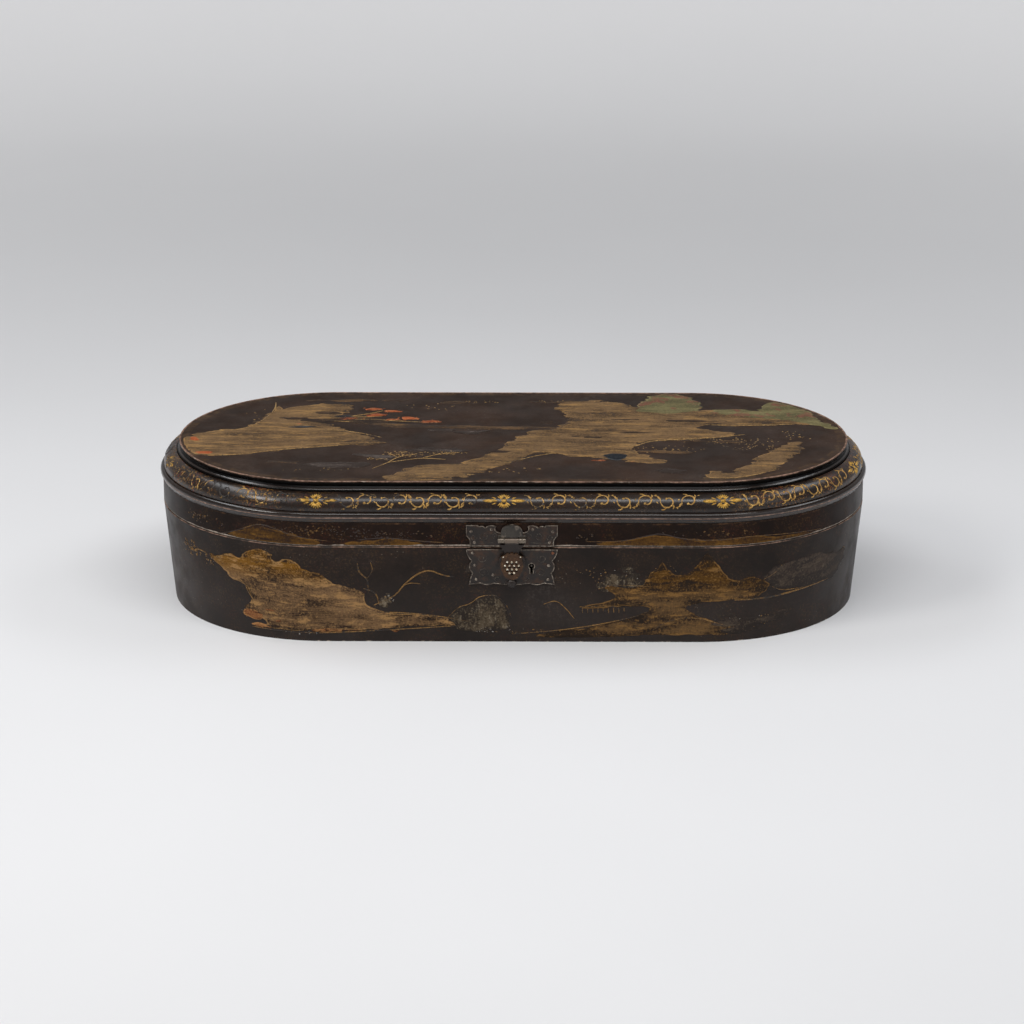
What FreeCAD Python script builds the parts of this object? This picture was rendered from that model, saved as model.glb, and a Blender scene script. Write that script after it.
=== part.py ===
import FreeCAD
import Part
import math
import os
from FreeCAD import Placement, Rotation, Vector

# Lacquered writing box with rounded ends and a hinged, locking lid. Millimetres.
# The origin is under the middle of the box, +Z is up and the lock is on the -Y side.
# A section of the box is given as (inset, z): inset is measured inward from the
# outermost line of the box, which is the face of the bead.

# Overall plan
LENGTH = 560.0
DEPTH = 273.2
END_RADIUS = DEPTH / 2
STRAIGHT_HALF = LENGTH / 2 - END_RADIUS

# Base
BASE_HEIGHT = 79.5
BASE_INSET_BOTTOM = 9.2
BASE_INSET_TOP = 1.9
BASE_WALL = 8.0
BASE_BOARD_THICKNESS = 7.0
BASE_RABBET = 4.0
BASE_EDGE = 0.8
LIP_THICKNESS = 3.5
LIP_RISE = 4.5
LIP_DEPTH = 7.5
LIP_CLEARANCE = 0.4
LIP_CHAMFER = 0.8
TAPER = math.degrees(math.atan((BASE_INSET_BOTTOM - BASE_INSET_TOP) / BASE_HEIGHT))

# Lid
JOINT_GAP = 0.3
FASCIA_INSET = 2.0
FASCIA_HEIGHT = 19.0
FASCIA_CHAMFER = 0.8
BEAD_HEIGHT = 7.8
BEAD_SEAT = 2.5
BEAD_COVE = 2.6
BEAD_EDGE_INSET = 0.9
OVOLO_GROOVE = 0.4
OVOLO_HEIGHT = 12.5
OVOLO_FOOT_INSET = 3.0
OVOLO_HEAD_INSET = 13.0
OVOLO_BELLY_INSET = 5.8
OVOLO_BELLY_SHARE = 0.7
OVOLO_SEAT = 2.5
OVOLO_LIP = 0.4
OVOLO_CHAMFER = 0.6
LEDGE_DROP = 2.3
LEDGE_INSET = 19.9
LEDGE_THICKNESS = 5.2
PANEL_THICKNESS = 10.2
PANEL_FOOT_INSET = 13.6
PANEL_RIM_INSET = 15.3
PANEL_NECK_INSET = 16.5
SHOULDER_RISE = 1.5
SHOULDER_WIDTH = 1.0
NECK_RISE = 2.0
RIM_EDGE = 0.5
RIM_WIDTH = 1.3
RIM_RISE = 0.3
LID_BOTTOM = BASE_HEIGHT + JOINT_GAP
LID_WALL_INNER_INSET = BASE_INSET_TOP + BASE_WALL - LIP_CLEARANCE
BEAD_BOTTOM = LID_BOTTOM + FASCIA_HEIGHT
OVOLO_BOTTOM = BEAD_BOTTOM + BEAD_HEIGHT + OVOLO_GROOVE
OVOLO_TOP = OVOLO_BOTTOM + OVOLO_HEIGHT
LEDGE_TOP = OVOLO_TOP - LEDGE_DROP
LEDGE_BOTTOM = LEDGE_TOP - LEDGE_THICKNESS
PANEL_TOP = LEDGE_TOP + PANEL_THICKNESS

# Iron plates and hinges
PLATE = 1.2
RUNNING_CLEARANCE = 0.05
PART_GAP = 0.3
OVERRUN = 1.0

# Front plates and hasp
PLATE_HALF_WIDTH = 35.0
LID_PLATE_TOP = 17.8
LOCK_PLATE_TOP = -1.4
LOCK_PLATE_BOTTOM = -31.3
TONGUE_HALF_WIDTH = 8.2
TONGUE_RISE = 2.2
TONGUE_SIDE = 12.4
TONGUE_CROWN = 22.0
BARREL_RADIUS = 2.1
BARREL_LENGTH = 21.0
BARREL_MIDDLE = 10.4
BARREL_HEIGHT = 6.0
HASP_PIN_RADIUS = 0.9
STRAP = 1.5
STRAP_NECK = 5.4
STRAP_SHOULDER = 9.4
SHIELD = 1.2
SHIELD_HALF_WIDTH = 8.4
SHIELD_TOP = -3.6
SHIELD_TIP = -25.4
SHIELD_HOLE_RADIUS = 1.0
SHIELD_HOLE_PITCH = 3.5
SHIELD_HOLE_ROWS = (1, 3, 4, 3)
BOSS_RADIUS = 3.4
BOSS_HEIGHT = -28.9
BOSS_FOOT = 0.5
BOSS_RISE = 1.7
STAPLE_WIDTH = 2.4
STAPLE_TOP = -16.0
STAPLE_BOTTOM = -23.0
STAPLE_REACH = 12.5
EYE_MARGIN = 1.3
EYE_FRONT = 0.6
SLOT_CLEARANCE = 0.5
SLOT_BOTTOM = -27.4
KEYHOLE_X = 15.0
KEYHOLE_HEAD_RADIUS = 1.9
KEYHOLE_WIDTH = 1.7
KEYHOLE_TOP = -13.6
KEYHOLE_BOTTOM = -21.6
KEY_PIN_RADIUS = 0.75
KEYHOLE_CLEARANCE = 0.5

# Lock behind the front wall
CASE_LEFT = -13.0
CASE_RIGHT = 36.0
CASE_TOP = -8.6
CASE_BOTTOM = -30.0
CASE_DEPTH = 11.0
CASE_SHEET = 1.2
CASE_SLOT_DEPTH = 14.0
BOLT_TRAVEL = 7.0
BOLT_TIP = 3.2
BOLT_LENGTH = 27.0
BOLT_THICKNESS = 1.8
BOLT_CLEARANCE = 0.3
GUIDE_CLEARANCE = 0.1
GUIDE_WIDTH = 2.0
GUIDE_WALL = 1.4
GUIDE_COVER = 0.8
GUIDE_PLACES = (5.2, 20.4)
TALON_WIDTH = 4.0
TALON_DEPTH = 1.4
SPRING_THICKNESS = 1.0
SPRING_GAP = 0.1

# Back hinges
HINGE_SPACING = 180.0
LEAF_WIDTH = 34.0
LEAF_HEIGHT = 17.6
BASE_LEAF_HEIGHT = 25.0
KNUCKLE_RADIUS = 2.5
KNUCKLE_MIDDLE = 11.0
HINGE_PIN_RADIUS = 1.1
PIN_HEAD = 1.0
PIN_HEAD_LIP = 0.7

# Inside of the base
PARTITION_X = 104.0
PARTITION_THICKNESS = 6.0
PARTITION_HEIGHT = 46.0
PARTITION_DIP = 9.0
FITTING_CLEARANCE = 0.4
INKSTONE_BOARD_THICKNESS = 18.0
RECESS_DEPTH = 7.0
STONE_WIDTH = 96.0
STONE_LENGTH = 158.0
STONE_HEIGHT = 22.0
STONE_CORNER = 9.0
STONE_RIM = 6.5
STONE_EDGE = 1.2
STONE_POCKET_CORNER = 6.0
STONE_LAND_DEPTH = 2.0
STONE_SEA_DEPTH = 11.0
STONE_SEA_LENGTH = 46.0
STONE_SEA_FLOOR = 12.0
STONE_X = -34.0
DROPPER_WIDTH = 48.0
DROPPER_LENGTH = 66.0
DROPPER_HEIGHT = 20.0
DROPPER_CORNER = 7.0
DROPPER_EDGE = 2.0
DROPPER_HOLE = 1.5
DROPPER_HOLE_DEPTH = 4.0
DROPPER_SPOUT = 11.0
DROPPER_X = 58.0
TRAY_INSET = 18.0
TRAY_WALL = 4.5
TRAY_FLOOR = 4.0
TRAY_HEIGHT = 30.0
TRAY_CHAMFER = 1.0
BRUSH_X = (-160.0, -138.0)
BRUSH_HANDLE_LENGTH = (152.0, 140.0)
BRUSH_RADIUS = (5.0, 3.6)
BRUSH_HAIR_LENGTH = (42.0, 32.0)
BRUSH_REST = 0.1
FERRULE_LENGTH = 20.0
FERRULE_STEP = 0.8
BRUSH_BUTT = 4.0
INK_STICK_LENGTH = 98.0
INK_STICK_WIDTH = 23.0
INK_STICK_HEIGHT = 10.0
INK_STICK_EDGE = 2.0
INK_STICK_X = 150.0

FLOOR = BASE_BOARD_THICKNESS


def base_outer(z):
    """Inset of the tapered outside of the base at a height."""
    return BASE_INSET_BOTTOM + (BASE_INSET_TOP - BASE_INSET_BOTTOM) * z / BASE_HEIGHT


def base_inner(z):
    """Inset of the tapered inside of the base wall at a height."""
    return base_outer(z) + BASE_WALL


def path(start, steps, place):
    """Edges from start through steps; a step is (u, v), or (mid_u, mid_v, u, v) for an arc."""
    edges = []
    here = start
    for step in steps:
        end = step[-2:]
        if len(step) == 2:
            edges.append(Part.LineSegment(place(*here), place(*end)).toShape())
        else:
            edges.append(Part.Arc(place(*here), place(*step[:2]), place(*end)).toShape())
        here = end
    if here != start:
        edges.append(Part.LineSegment(place(*here), place(*start)).toShape())
    return Part.Wire(edges)


def cap_middle(radius, rise):
    """Point half way along a spherical cap from (radius, 0) to (0, rise)."""
    ball = (radius ** 2 + rise ** 2) / (2 * rise)
    half = math.asin(radius / ball) / 2
    return ball * math.sin(half), ball * math.cos(half) - ball + rise


def stadium_wire(inset, z):
    """Plan outline of the box at an inset, as two straights and two half circles."""
    r = END_RADIUS - inset
    a = STRAIGHT_HALF
    steps = [(a, -r), (a + r, 0, a, r), (-a, r), (-a - r, 0, -a, -r)]
    return path((-a, -r), steps, lambda x, y: Vector(x, y, z))


def stadium(inset, z0, z1):
    """Solid with the plan outline of the box."""
    return Part.Face(stadium_wire(inset, z0)).extrude(Vector(0, 0, z1 - z0))


def ring(start, steps):
    """Moulding or wall that follows the plan outline, from its section in (inset, z)."""
    def front(x):
        return lambda inset, z: Vector(x, inset - END_RADIUS, z)

    def back(x):
        return lambda inset, z: Vector(x, END_RADIUS - inset, z)

    a = STRAIGHT_HALF
    up = Vector(0, 0, 1)
    pieces = []
    for place, x, side in ((front, -a, 1), (back, a, -1)):
        section = Part.Face(path(start, steps, place(x)))
        pieces.append(section.extrude(Vector(2 * a * side, 0, 0)))
        end = Part.Face(path(start, steps, place(-x)))
        pieces.append(end.revolve(Vector(-x, 0, 0), up, 180))
    return pieces[0].fuse(pieces[1:]).removeSplitter()


def box(x0, x1, y0, y1, z0, z1):
    return Part.makeBox(x1 - x0, y1 - y0, z1 - z0, Vector(x0, y0, z0))


def rod(start, end, radius):
    direction = end - start
    return Part.makeCylinder(radius, direction.Length, start, direction)


def plate(start, steps, thickness, w=0.0):
    """Sheet whose outline is in (x, v) and which stands out of the wall from w."""
    face = Part.Face(path(start, steps, lambda x, v: Vector(x, -w, v)))
    return face.extrude(Vector(0, -thickness, 0))


def wall_box(x0, x1, w0, w1, v0, v1):
    """Box in plate coordinates: x along the wall, w out of it and v up it."""
    return box(x0, x1, -w1, -w0, v0, v1)


def wall_rod(x, v, w0, w1, radius):
    return rod(Vector(x, -w0, v), Vector(x, -w1, v), radius)


def on_base_front(shape):
    """Moves plate coordinates onto the tapered front wall, with v = 0 on the joint line."""
    moved = shape.copy()
    turn = Rotation(Vector(1, 0, 0), TAPER)
    moved.Placement = Placement(Vector(0, BASE_INSET_TOP - END_RADIUS, BASE_HEIGHT), turn)
    return moved


def on_lid_front(shape):
    """Moves plate coordinates onto the upright fascia, with v = 0 on the joint line."""
    moved = shape.copy()
    moved.Placement = Placement(Vector(0, FASCIA_INSET - END_RADIUS, BASE_HEIGHT), Rotation())
    return moved


def to_back(shape, x):
    """Turns a shape made at the front middle to the back of the box at x."""
    return shape.copy().rotated(Vector(0, 0, 0), Vector(0, 0, 1), 180).translated(Vector(x, 0, 0))


# Plate outlines. Each is the right half, from the middle of the top edge round to
# the middle of the bottom edge.

def lid_plate_outline():
    """Scalloped upper plate with a domed middle and a round notch beside it."""
    top = LID_PLATE_TOP
    half = PLATE_HALF_WIDTH
    return [
        (TONGUE_HALF_WIDTH - 1.2, top - 2.6),
        (TONGUE_HALF_WIDTH, top - 5.6, TONGUE_HALF_WIDTH + 2.2, top - 5.2),
        (TONGUE_HALF_WIDTH + 4.2, top - 3.4, TONGUE_HALF_WIDTH + 3.4, top - 1.2),
        (TONGUE_HALF_WIDTH + 7.0, top, half - 14.6, top - 2.0),
        (half - 12.4, top - 0.4, half - 10.2, top - 1.2),
        (half - 9.2, top),
        (half, top),
        (half, LID_PLATE_TOP / 2),
        (half - 2.6, LID_PLATE_TOP / 2 - 3.6, half - 2.2, JOINT_GAP + 0.3),
    ]


def lock_plate_outline():
    """Scalloped lower plate with two bites in each side and a wavy bottom edge."""
    half = PLATE_HALF_WIDTH
    top = LOCK_PLATE_TOP
    bottom = LOCK_PLATE_BOTTOM
    third = (top - bottom) / 3
    return [
        (half, top),
        (half - 1.2, top - 0.6 * third, half - 4.0, top - third),
        (half - 2.2, top - 1.45 * third, half - 4.6, top - 2 * third),
        (half - 3.2, top - 2.4 * third, half - 2.2, bottom),
        (half - 11.0, bottom + 1.1),
        (half - 16.0, bottom - 0.3, half - 21.0, bottom + 0.9),
        (BOSS_RADIUS + 2.6, bottom),
    ]


def strap_outline():
    """Hasp strap: shoulders under the barrel, a waist, a shield seat and a round tip."""
    shoulder_top = BARREL_HEIGHT - BARREL_RADIUS - PART_GAP - 0.3
    middle = BARREL_MIDDLE / 2
    tip_top = BOSS_HEIGHT + BOSS_RADIUS * 0.8
    return [
        (middle, BARREL_HEIGHT),
        (middle, shoulder_top),
        (STRAP_SHOULDER, shoulder_top),
        (STRAP_NECK + 0.9, shoulder_top - 4.4, STRAP_NECK, SHIELD_TOP + 1.2),
        (STRAP_NECK + 0.6, SHIELD_TOP - 1.4, SHIELD_HALF_WIDTH + 0.6, SHIELD_TOP - 3.0),
        (SHIELD_HALF_WIDTH + 1.6, (SHIELD_TOP + SHIELD_TIP) / 2, SHIELD_HALF_WIDTH - 1.0, SHIELD_TIP + 4.0),
        (SHIELD_HALF_WIDTH - 3.4, SHIELD_TIP + 0.8, BOSS_RADIUS * 0.6, tip_top),
        (BOSS_RADIUS + 0.2, BOSS_HEIGHT, 0, BOSS_HEIGHT - BOSS_RADIUS - 0.2),
    ]


def shield_outline():
    """Pierced shield: cusped top corners, full sides and a pointed foot."""
    top = SHIELD_TOP
    tip = SHIELD_TIP
    half = SHIELD_HALF_WIDTH
    return [
        (1.6, top - 0.9),
        (3.2, top + 0.5, 5.0, top - 0.9),
        (half, top - 2.4),
        (half - 1.0, top - 4.6),
        (half + 0.2, (top + tip) / 2, half - 1.8, tip + 5.4),
        (half - 4.4, tip + 1.6, 0, tip),
    ]


def mirrored_outline(right):
    """Whole outline from its right half, as a start point and steps for path."""
    points = [step[-2:] for step in right]
    left = []
    for i in range(len(right) - 1, 0, -1):
        end = (-points[i - 1][0], points[i - 1][1])
        bend = (-right[i][0], right[i][1]) if len(right[i]) == 4 else ()
        left.append(bend + end)
    bottom = points[-1]
    if bottom[0] > 0:
        left.insert(0, (-bottom[0], bottom[1]))
    start = (-points[0][0], points[0][1])
    return start, left


def symmetric_plate(right, thickness, w=0.0, crown=None):
    """Plate mirrored about x = 0; crown is the top middle point of an arc, if any."""
    start, left = mirrored_outline(right)
    first = right[0][-2:]
    opening = [crown + first] if crown else [first]
    return plate(start, opening + right[1:] + left, thickness, w)


# Base

def base_wall():
    """Bent wall with parallel tapered faces and a rabbet for the bottom board."""
    top = BASE_HEIGHT
    seat = BASE_INSET_BOTTOM + BASE_RABBET
    steps = [
        (seat, 0),
        (seat, BASE_BOARD_THICKNESS),
        (base_inner(BASE_BOARD_THICKNESS), BASE_BOARD_THICKNESS),
        (base_inner(top), top),
        (BASE_INSET_TOP + BASE_EDGE, top),
        (base_outer(top - BASE_EDGE), top - BASE_EDGE),
    ]
    wall = ring((BASE_INSET_BOTTOM, 0), steps)
    inside = -BASE_WALL - OVERRUN
    slot = STAPLE_WIDTH / 2 + SLOT_CLEARANCE
    cuts = [
        wall_box(-slot, slot, inside, OVERRUN, SLOT_BOTTOM, OVERRUN),
        keyhole(inside, OVERRUN, KEYHOLE_CLEARANCE),
    ]
    return wall.cut([on_base_front(cut) for cut in cuts])


def keyhole(w0, w1, extra):
    """Round head with a slot below it, enlarged by extra."""
    head_v = KEYHOLE_TOP - KEYHOLE_HEAD_RADIUS
    half = KEYHOLE_WIDTH / 2 + extra
    head = wall_rod(KEYHOLE_X, head_v, w0, w1, KEYHOLE_HEAD_RADIUS + extra)
    return head.fuse(wall_box(KEYHOLE_X - half, KEYHOLE_X + half, w0, w1, KEYHOLE_BOTTOM - extra, head_v))


def base_board():
    return stadium(BASE_INSET_BOTTOM + BASE_RABBET, 0, BASE_BOARD_THICKNESS)


def base_lip():
    """Collar glued inside the rim of the base, which the lid drops over."""
    low = BASE_HEIGHT - LIP_DEPTH
    high = BASE_HEIGHT + LIP_RISE
    outer = base_inner(BASE_HEIGHT)
    steps = [
        (outer, high - LIP_CHAMFER),
        (outer + LIP_CHAMFER, high),
        (outer + LIP_THICKNESS - LIP_CHAMFER, high),
        (outer + LIP_THICKNESS, high - LIP_CHAMFER),
        (base_inner(low) + LIP_THICKNESS, low),
        (base_inner(low), low),
    ]
    lip = ring((outer, BASE_HEIGHT), steps)
    slot = STAPLE_WIDTH / 2 + SLOT_CLEARANCE
    past = 2 * OVERRUN
    inside = -BASE_WALL - LIP_THICKNESS - past
    return lip.cut(on_base_front(wall_box(-slot, slot, inside, past, -LIP_DEPTH - past, LIP_RISE + past)))


def partition(side):
    """Upright board across the base, with a rounded dip in its top edge."""
    top = FLOOR + PARTITION_HEIGHT
    half = END_RADIUS - base_inner(FLOOR) - FITTING_CLEARANCE
    steps = [
        (half, FLOOR),
        (half, top),
        (half / 2, top),
        (0, top - PARTITION_DIP, -half / 2, top),
        (-half, top),
    ]
    x = side * PARTITION_X
    wire = path((-half, FLOOR), steps, lambda y, z: Vector(x, y, z))
    return Part.Face(wire).extrude(Vector(side * PARTITION_THICKNESS, 0, 0))


def rounded_block(width, length, height, corner, x, y, z):
    """Upright block with rounded corners in plan, centred on x and y."""
    w = width / 2
    h = length / 2
    s = corner * (1 - math.sqrt(0.5))
    steps = [
        (w - corner, -h),
        (w - s, -h + s, w, -h + corner),
        (w, h - corner),
        (w - s, h - s, w - corner, h),
        (-w + corner, h),
        (-w + s, h - s, -w, h - corner),
        (-w, -h + corner),
        (-w + s, -h + s, -w + corner, -h),
    ]
    wire = path((-w + corner, -h), steps, lambda u, v: Vector(x + u, y + v, z))
    return Part.Face(wire).extrude(Vector(0, 0, height))


def top_edges(shape):
    """Edges that lie in the highest plane of a shape."""
    top = shape.BoundBox.ZMax
    return [edge for edge in shape.Edges if edge.BoundBox.ZMin > top - 0.01]


def inkstone_board():
    """Board between the partitions, recessed for the inkstone and the water dropper."""
    half_x = PARTITION_X - FITTING_CLEARANCE
    half_y = END_RADIUS - base_inner(FLOOR) - FITTING_CLEARANCE
    top = FLOOR + INKSTONE_BOARD_THICKNESS
    board = box(-half_x, half_x, -half_y, half_y, FLOOR, top)
    low = top - RECESS_DEPTH
    gap = 2 * FITTING_CLEARANCE
    seats = [
        rounded_block(STONE_WIDTH + gap, STONE_LENGTH + gap, RECESS_DEPTH + OVERRUN,
                      STONE_CORNER + FITTING_CLEARANCE, STONE_X, 0, low),
        rounded_block(DROPPER_WIDTH + gap, DROPPER_LENGTH + gap, RECESS_DEPTH + OVERRUN,
                      DROPPER_CORNER + FITTING_CLEARANCE, DROPPER_X, 0, low),
    ]
    return board.cut(seats)


def inkstone():
    """Slate block with a shallow grinding land that slopes into a deep well."""
    z = FLOOR + INKSTONE_BOARD_THICKNESS - RECESS_DEPTH
    top = z + STONE_HEIGHT
    block = rounded_block(STONE_WIDTH, STONE_LENGTH, STONE_HEIGHT, STONE_CORNER, STONE_X, 0, z)
    inner_width = STONE_WIDTH - 2 * STONE_RIM
    inner_length = STONE_LENGTH - 2 * STONE_RIM
    pocket = rounded_block(inner_width, inner_length, STONE_HEIGHT, STONE_POCKET_CORNER, STONE_X, 0, z)
    far = inner_length / 2
    sea_start = far - STONE_SEA_LENGTH
    land = top - STONE_LAND_DEPTH
    sea = top - STONE_SEA_DEPTH
    end = far + OVERRUN
    steps = [
        (sea_start, land),
        (sea_start + STONE_SEA_LENGTH * 0.4, land - (land - sea) / 3, far - STONE_SEA_FLOOR, sea),
        (end, sea),
        (end, top + OVERRUN),
        (-end, top + OVERRUN),
    ]
    x = STONE_X - inner_width
    wire = path((-end, land), steps, lambda y, v: Vector(x, y, v))
    hollow = Part.Face(wire).extrude(Vector(2 * inner_width, 0, 0))
    stone = block.cut(pocket.common(hollow))
    rim = [edge for edge in top_edges(stone) if outer_edge(edge, STONE_X, STONE_WIDTH, STONE_LENGTH)]
    return stone.makeChamfer(STONE_EDGE, rim)


def outer_edge(edge, x, width, length):
    """True for an edge on the outside of a block that is centred on x."""
    b = edge.BoundBox
    reach_x = max(abs(b.XMin - x), abs(b.XMax - x))
    reach_y = max(abs(b.YMin), abs(b.YMax))
    return reach_x > width / 2 - 0.01 or reach_y > length / 2 - 0.01


def water_dropper():
    """Small closed metal flask with two holes in its top."""
    z = FLOOR + INKSTONE_BOARD_THICKNESS - RECESS_DEPTH
    flask = rounded_block(DROPPER_WIDTH, DROPPER_LENGTH, DROPPER_HEIGHT, DROPPER_CORNER, DROPPER_X, 0, z)
    flask = flask.makeChamfer(DROPPER_EDGE, top_edges(flask))
    top = z + DROPPER_HEIGHT
    for y in (0, -DROPPER_LENGTH / 2 + DROPPER_SPOUT):
        bottom = Vector(DROPPER_X, y, top - DROPPER_HOLE_DEPTH)
        flask = flask.cut(rod(bottom, Vector(DROPPER_X, y, top + OVERRUN), DROPPER_HOLE))
    return flask


def tray_outline(side, inset, straight_x, z):
    """Rounded end of the plan, closed by a straight side."""
    r = END_RADIUS - inset
    a = STRAIGHT_HALF
    steps = [(a, -r), (a + r, 0, a, r), (straight_x, r), (straight_x, -r)]
    return path((straight_x, -r), steps, lambda x, y: Vector(side * x, y, z))


def tray(side):
    """Tray that fills one rounded end of the base."""
    near = PARTITION_X + PARTITION_THICKNESS + FITTING_CLEARANCE
    outer = Part.Face(tray_outline(side, TRAY_INSET, near, FLOOR)).extrude(Vector(0, 0, TRAY_HEIGHT))
    inner_face = Part.Face(tray_outline(side, TRAY_INSET + TRAY_WALL, near + TRAY_WALL, FLOOR + TRAY_FLOOR))
    body = outer.cut(inner_face.extrude(Vector(0, 0, TRAY_HEIGHT)))
    return body.makeChamfer(TRAY_CHAMFER, top_edges(body))


def brush_parts(index):
    """Handle with a ferrule end and a pointed tuft, lying along Y on the tray floor."""
    radius = BRUSH_RADIUS[index]
    length = BRUSH_HANDLE_LENGTH[index]
    hair = BRUSH_HAIR_LENGTH[index]
    x = BRUSH_X[index]
    z = FLOOR + TRAY_FLOOR + radius + BRUSH_REST
    start = (length + hair) / 2
    root = start - hair

    def turn(first, steps):
        wire = path(first, steps, lambda r, y: Vector(x + r, y, z))
        return Part.Face(wire).revolve(Vector(x, 0, z), Vector(0, 1, 0), 360)

    end = root - length
    shaft = radius - FERRULE_STEP
    handle = turn((0, root), [
        (radius, root),
        (radius, root - FERRULE_LENGTH),
        (shaft, root - FERRULE_LENGTH - FERRULE_STEP),
        (shaft, end + BRUSH_BUTT),
        (shaft / 2, end),
        (0, end),
    ])
    tuft = turn((0, root), [
        (shaft, root),
        (radius, root + hair * 0.3),
        (radius * 0.1, start),
        (0, start),
    ])
    return handle, tuft


def ink_stick():
    """Pressed ink stick with rounded edges on the floor of the right tray."""
    block = box(INK_STICK_X - INK_STICK_WIDTH / 2, INK_STICK_X + INK_STICK_WIDTH / 2,
                -INK_STICK_LENGTH / 2, INK_STICK_LENGTH / 2,
                FLOOR + TRAY_FLOOR, FLOOR + TRAY_FLOOR + INK_STICK_HEIGHT)
    long_edges = [edge for edge in block.Edges if abs(edge.Length - INK_STICK_LENGTH) < INK_STICK_EDGE]
    return block.makeFillet(INK_STICK_EDGE, long_edges)


# Lock

def lock_plate():
    """Lower plate with the keyhole and the slot that the staple enters."""
    sheet = symmetric_plate(lock_plate_outline(), PLATE)
    slot = STAPLE_WIDTH / 2 + SLOT_CLEARANCE
    cuts = [
        wall_box(-slot, slot, -OVERRUN, PLATE + OVERRUN, SLOT_BOTTOM, OVERRUN),
        keyhole(-OVERRUN, PLATE + OVERRUN, 0),
    ]
    return on_base_front(sheet.cut(cuts))


def lock_case():
    """Sheet-iron case against the inside of the front wall, slotted for the staple."""
    back = -BASE_WALL
    outer = wall_box(CASE_LEFT, CASE_RIGHT, back - CASE_DEPTH, back, CASE_BOTTOM, CASE_TOP)
    s = CASE_SHEET
    inner = wall_box(CASE_LEFT + s, CASE_RIGHT - s, back - CASE_DEPTH + s, back + OVERRUN,
                     CASE_BOTTOM + s, CASE_TOP - s)
    slot = STAPLE_WIDTH / 2 + SLOT_CLEARANCE
    way = wall_box(-slot, slot, -CASE_SLOT_DEPTH, back + OVERRUN, CASE_TOP - s - OVERRUN, CASE_TOP + OVERRUN)
    return on_base_front(outer.cut(inner).cut(way))


def eye_range():
    """Lowest and highest v, and w range, of the hole in the staple."""
    return (STAPLE_BOTTOM + EYE_MARGIN, STAPLE_TOP - EYE_MARGIN,
            -STAPLE_REACH + EYE_MARGIN, -BASE_WALL - EYE_FRONT)


def bolt_section(extra):
    """Section of the bolt as v0, v1, w0, w1, enlarged by extra."""
    v0, v1, w0, w1 = eye_range()
    c = BOLT_CLEARANCE - extra
    middle = (w0 + w1) / 2
    half = BOLT_THICKNESS / 2 + extra
    return v0 + c, v1 - c, middle - half, middle + half


def lock_bolt():
    """Sliding bolt, drawn back clear of the staple, with a talon for the key."""
    v0, v1, w0, w1 = bolt_section(0)
    bar = wall_box(BOLT_TIP, BOLT_TIP + BOLT_LENGTH, w0, w1, v0, v1)
    talon = wall_box(KEYHOLE_X - TALON_WIDTH / 2, KEYHOLE_X + TALON_WIDTH / 2,
                     w0 - OVERRUN, w1 + OVERRUN, v1 - TALON_DEPTH, v1 + OVERRUN)
    return on_base_front(bar.cut(talon))


def bolt_guides():
    """Two bridges in the case that the bolt slides through."""
    v0, v1, w0, w1 = bolt_section(GUIDE_CLEARANCE)
    back = -BASE_WALL - CASE_DEPTH + CASE_SHEET
    made = []
    for x in GUIDE_PLACES:
        end = x + GUIDE_WIDTH
        block = wall_box(x, end, back, w1 + GUIDE_COVER, v0 - GUIDE_WALL, v1 + GUIDE_WALL)
        made.append(block.cut(wall_box(x - OVERRUN, end + OVERRUN, w0, w1, v0, v1)))
    return on_base_front(Part.makeCompound(made))


def key_pin():
    """Pin in the middle of the keyhole that a pipe key turns on."""
    head_v = KEYHOLE_TOP - KEYHOLE_HEAD_RADIUS
    back = -BASE_WALL - CASE_DEPTH + CASE_SHEET
    return on_base_front(wall_rod(KEYHOLE_X, head_v, back, PLATE / 2, KEY_PIN_RADIUS))


def bolt_spring():
    """Bowed leaf spring that presses on the bolt from above."""
    v0, v1, w0, w1 = bolt_section(0)
    right = CASE_RIGHT - CASE_SHEET
    left = GUIDE_PLACES[1] + GUIDE_WIDTH + 2 * PART_GAP
    high = CASE_TOP - CASE_SHEET
    low = v1 + SPRING_GAP
    middle = (left + right) / 2
    thick = SPRING_THICKNESS
    steps = [
        (middle, low + thick, left, high - thick / 2),
        (left, high),
        (left - thick, high),
        (left - thick, high - thick),
        (middle - thick / 2, low, right, high - 2 * thick),
    ]
    strip = path((right, high - 1.4 * thick), steps, lambda x, v: Vector(x, -w0, v))
    return on_base_front(Part.Face(strip).extrude(Vector(0, w0 - w1, 0)))


# Hasp. The hinge line is in front of the upper plate.

BARREL_W = PLATE + BARREL_RADIUS
HASP_AXIS_Y = FASCIA_INSET - END_RADIUS - BARREL_W
HASP_AXIS_Z = BASE_HEIGHT + BARREL_HEIGHT


def hasp_barrel(x0, x1, radius):
    return rod(Vector(x0, HASP_AXIS_Y, HASP_AXIS_Z), Vector(x1, HASP_AXIS_Y, HASP_AXIS_Z), radius)


def hasp_plate():
    """Upper plate nailed to the fascia of the lid."""
    crown = (0, LID_PLATE_TOP + 0.8)
    return on_lid_front(symmetric_plate(lid_plate_outline(), PLATE, 0, crown))


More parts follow.
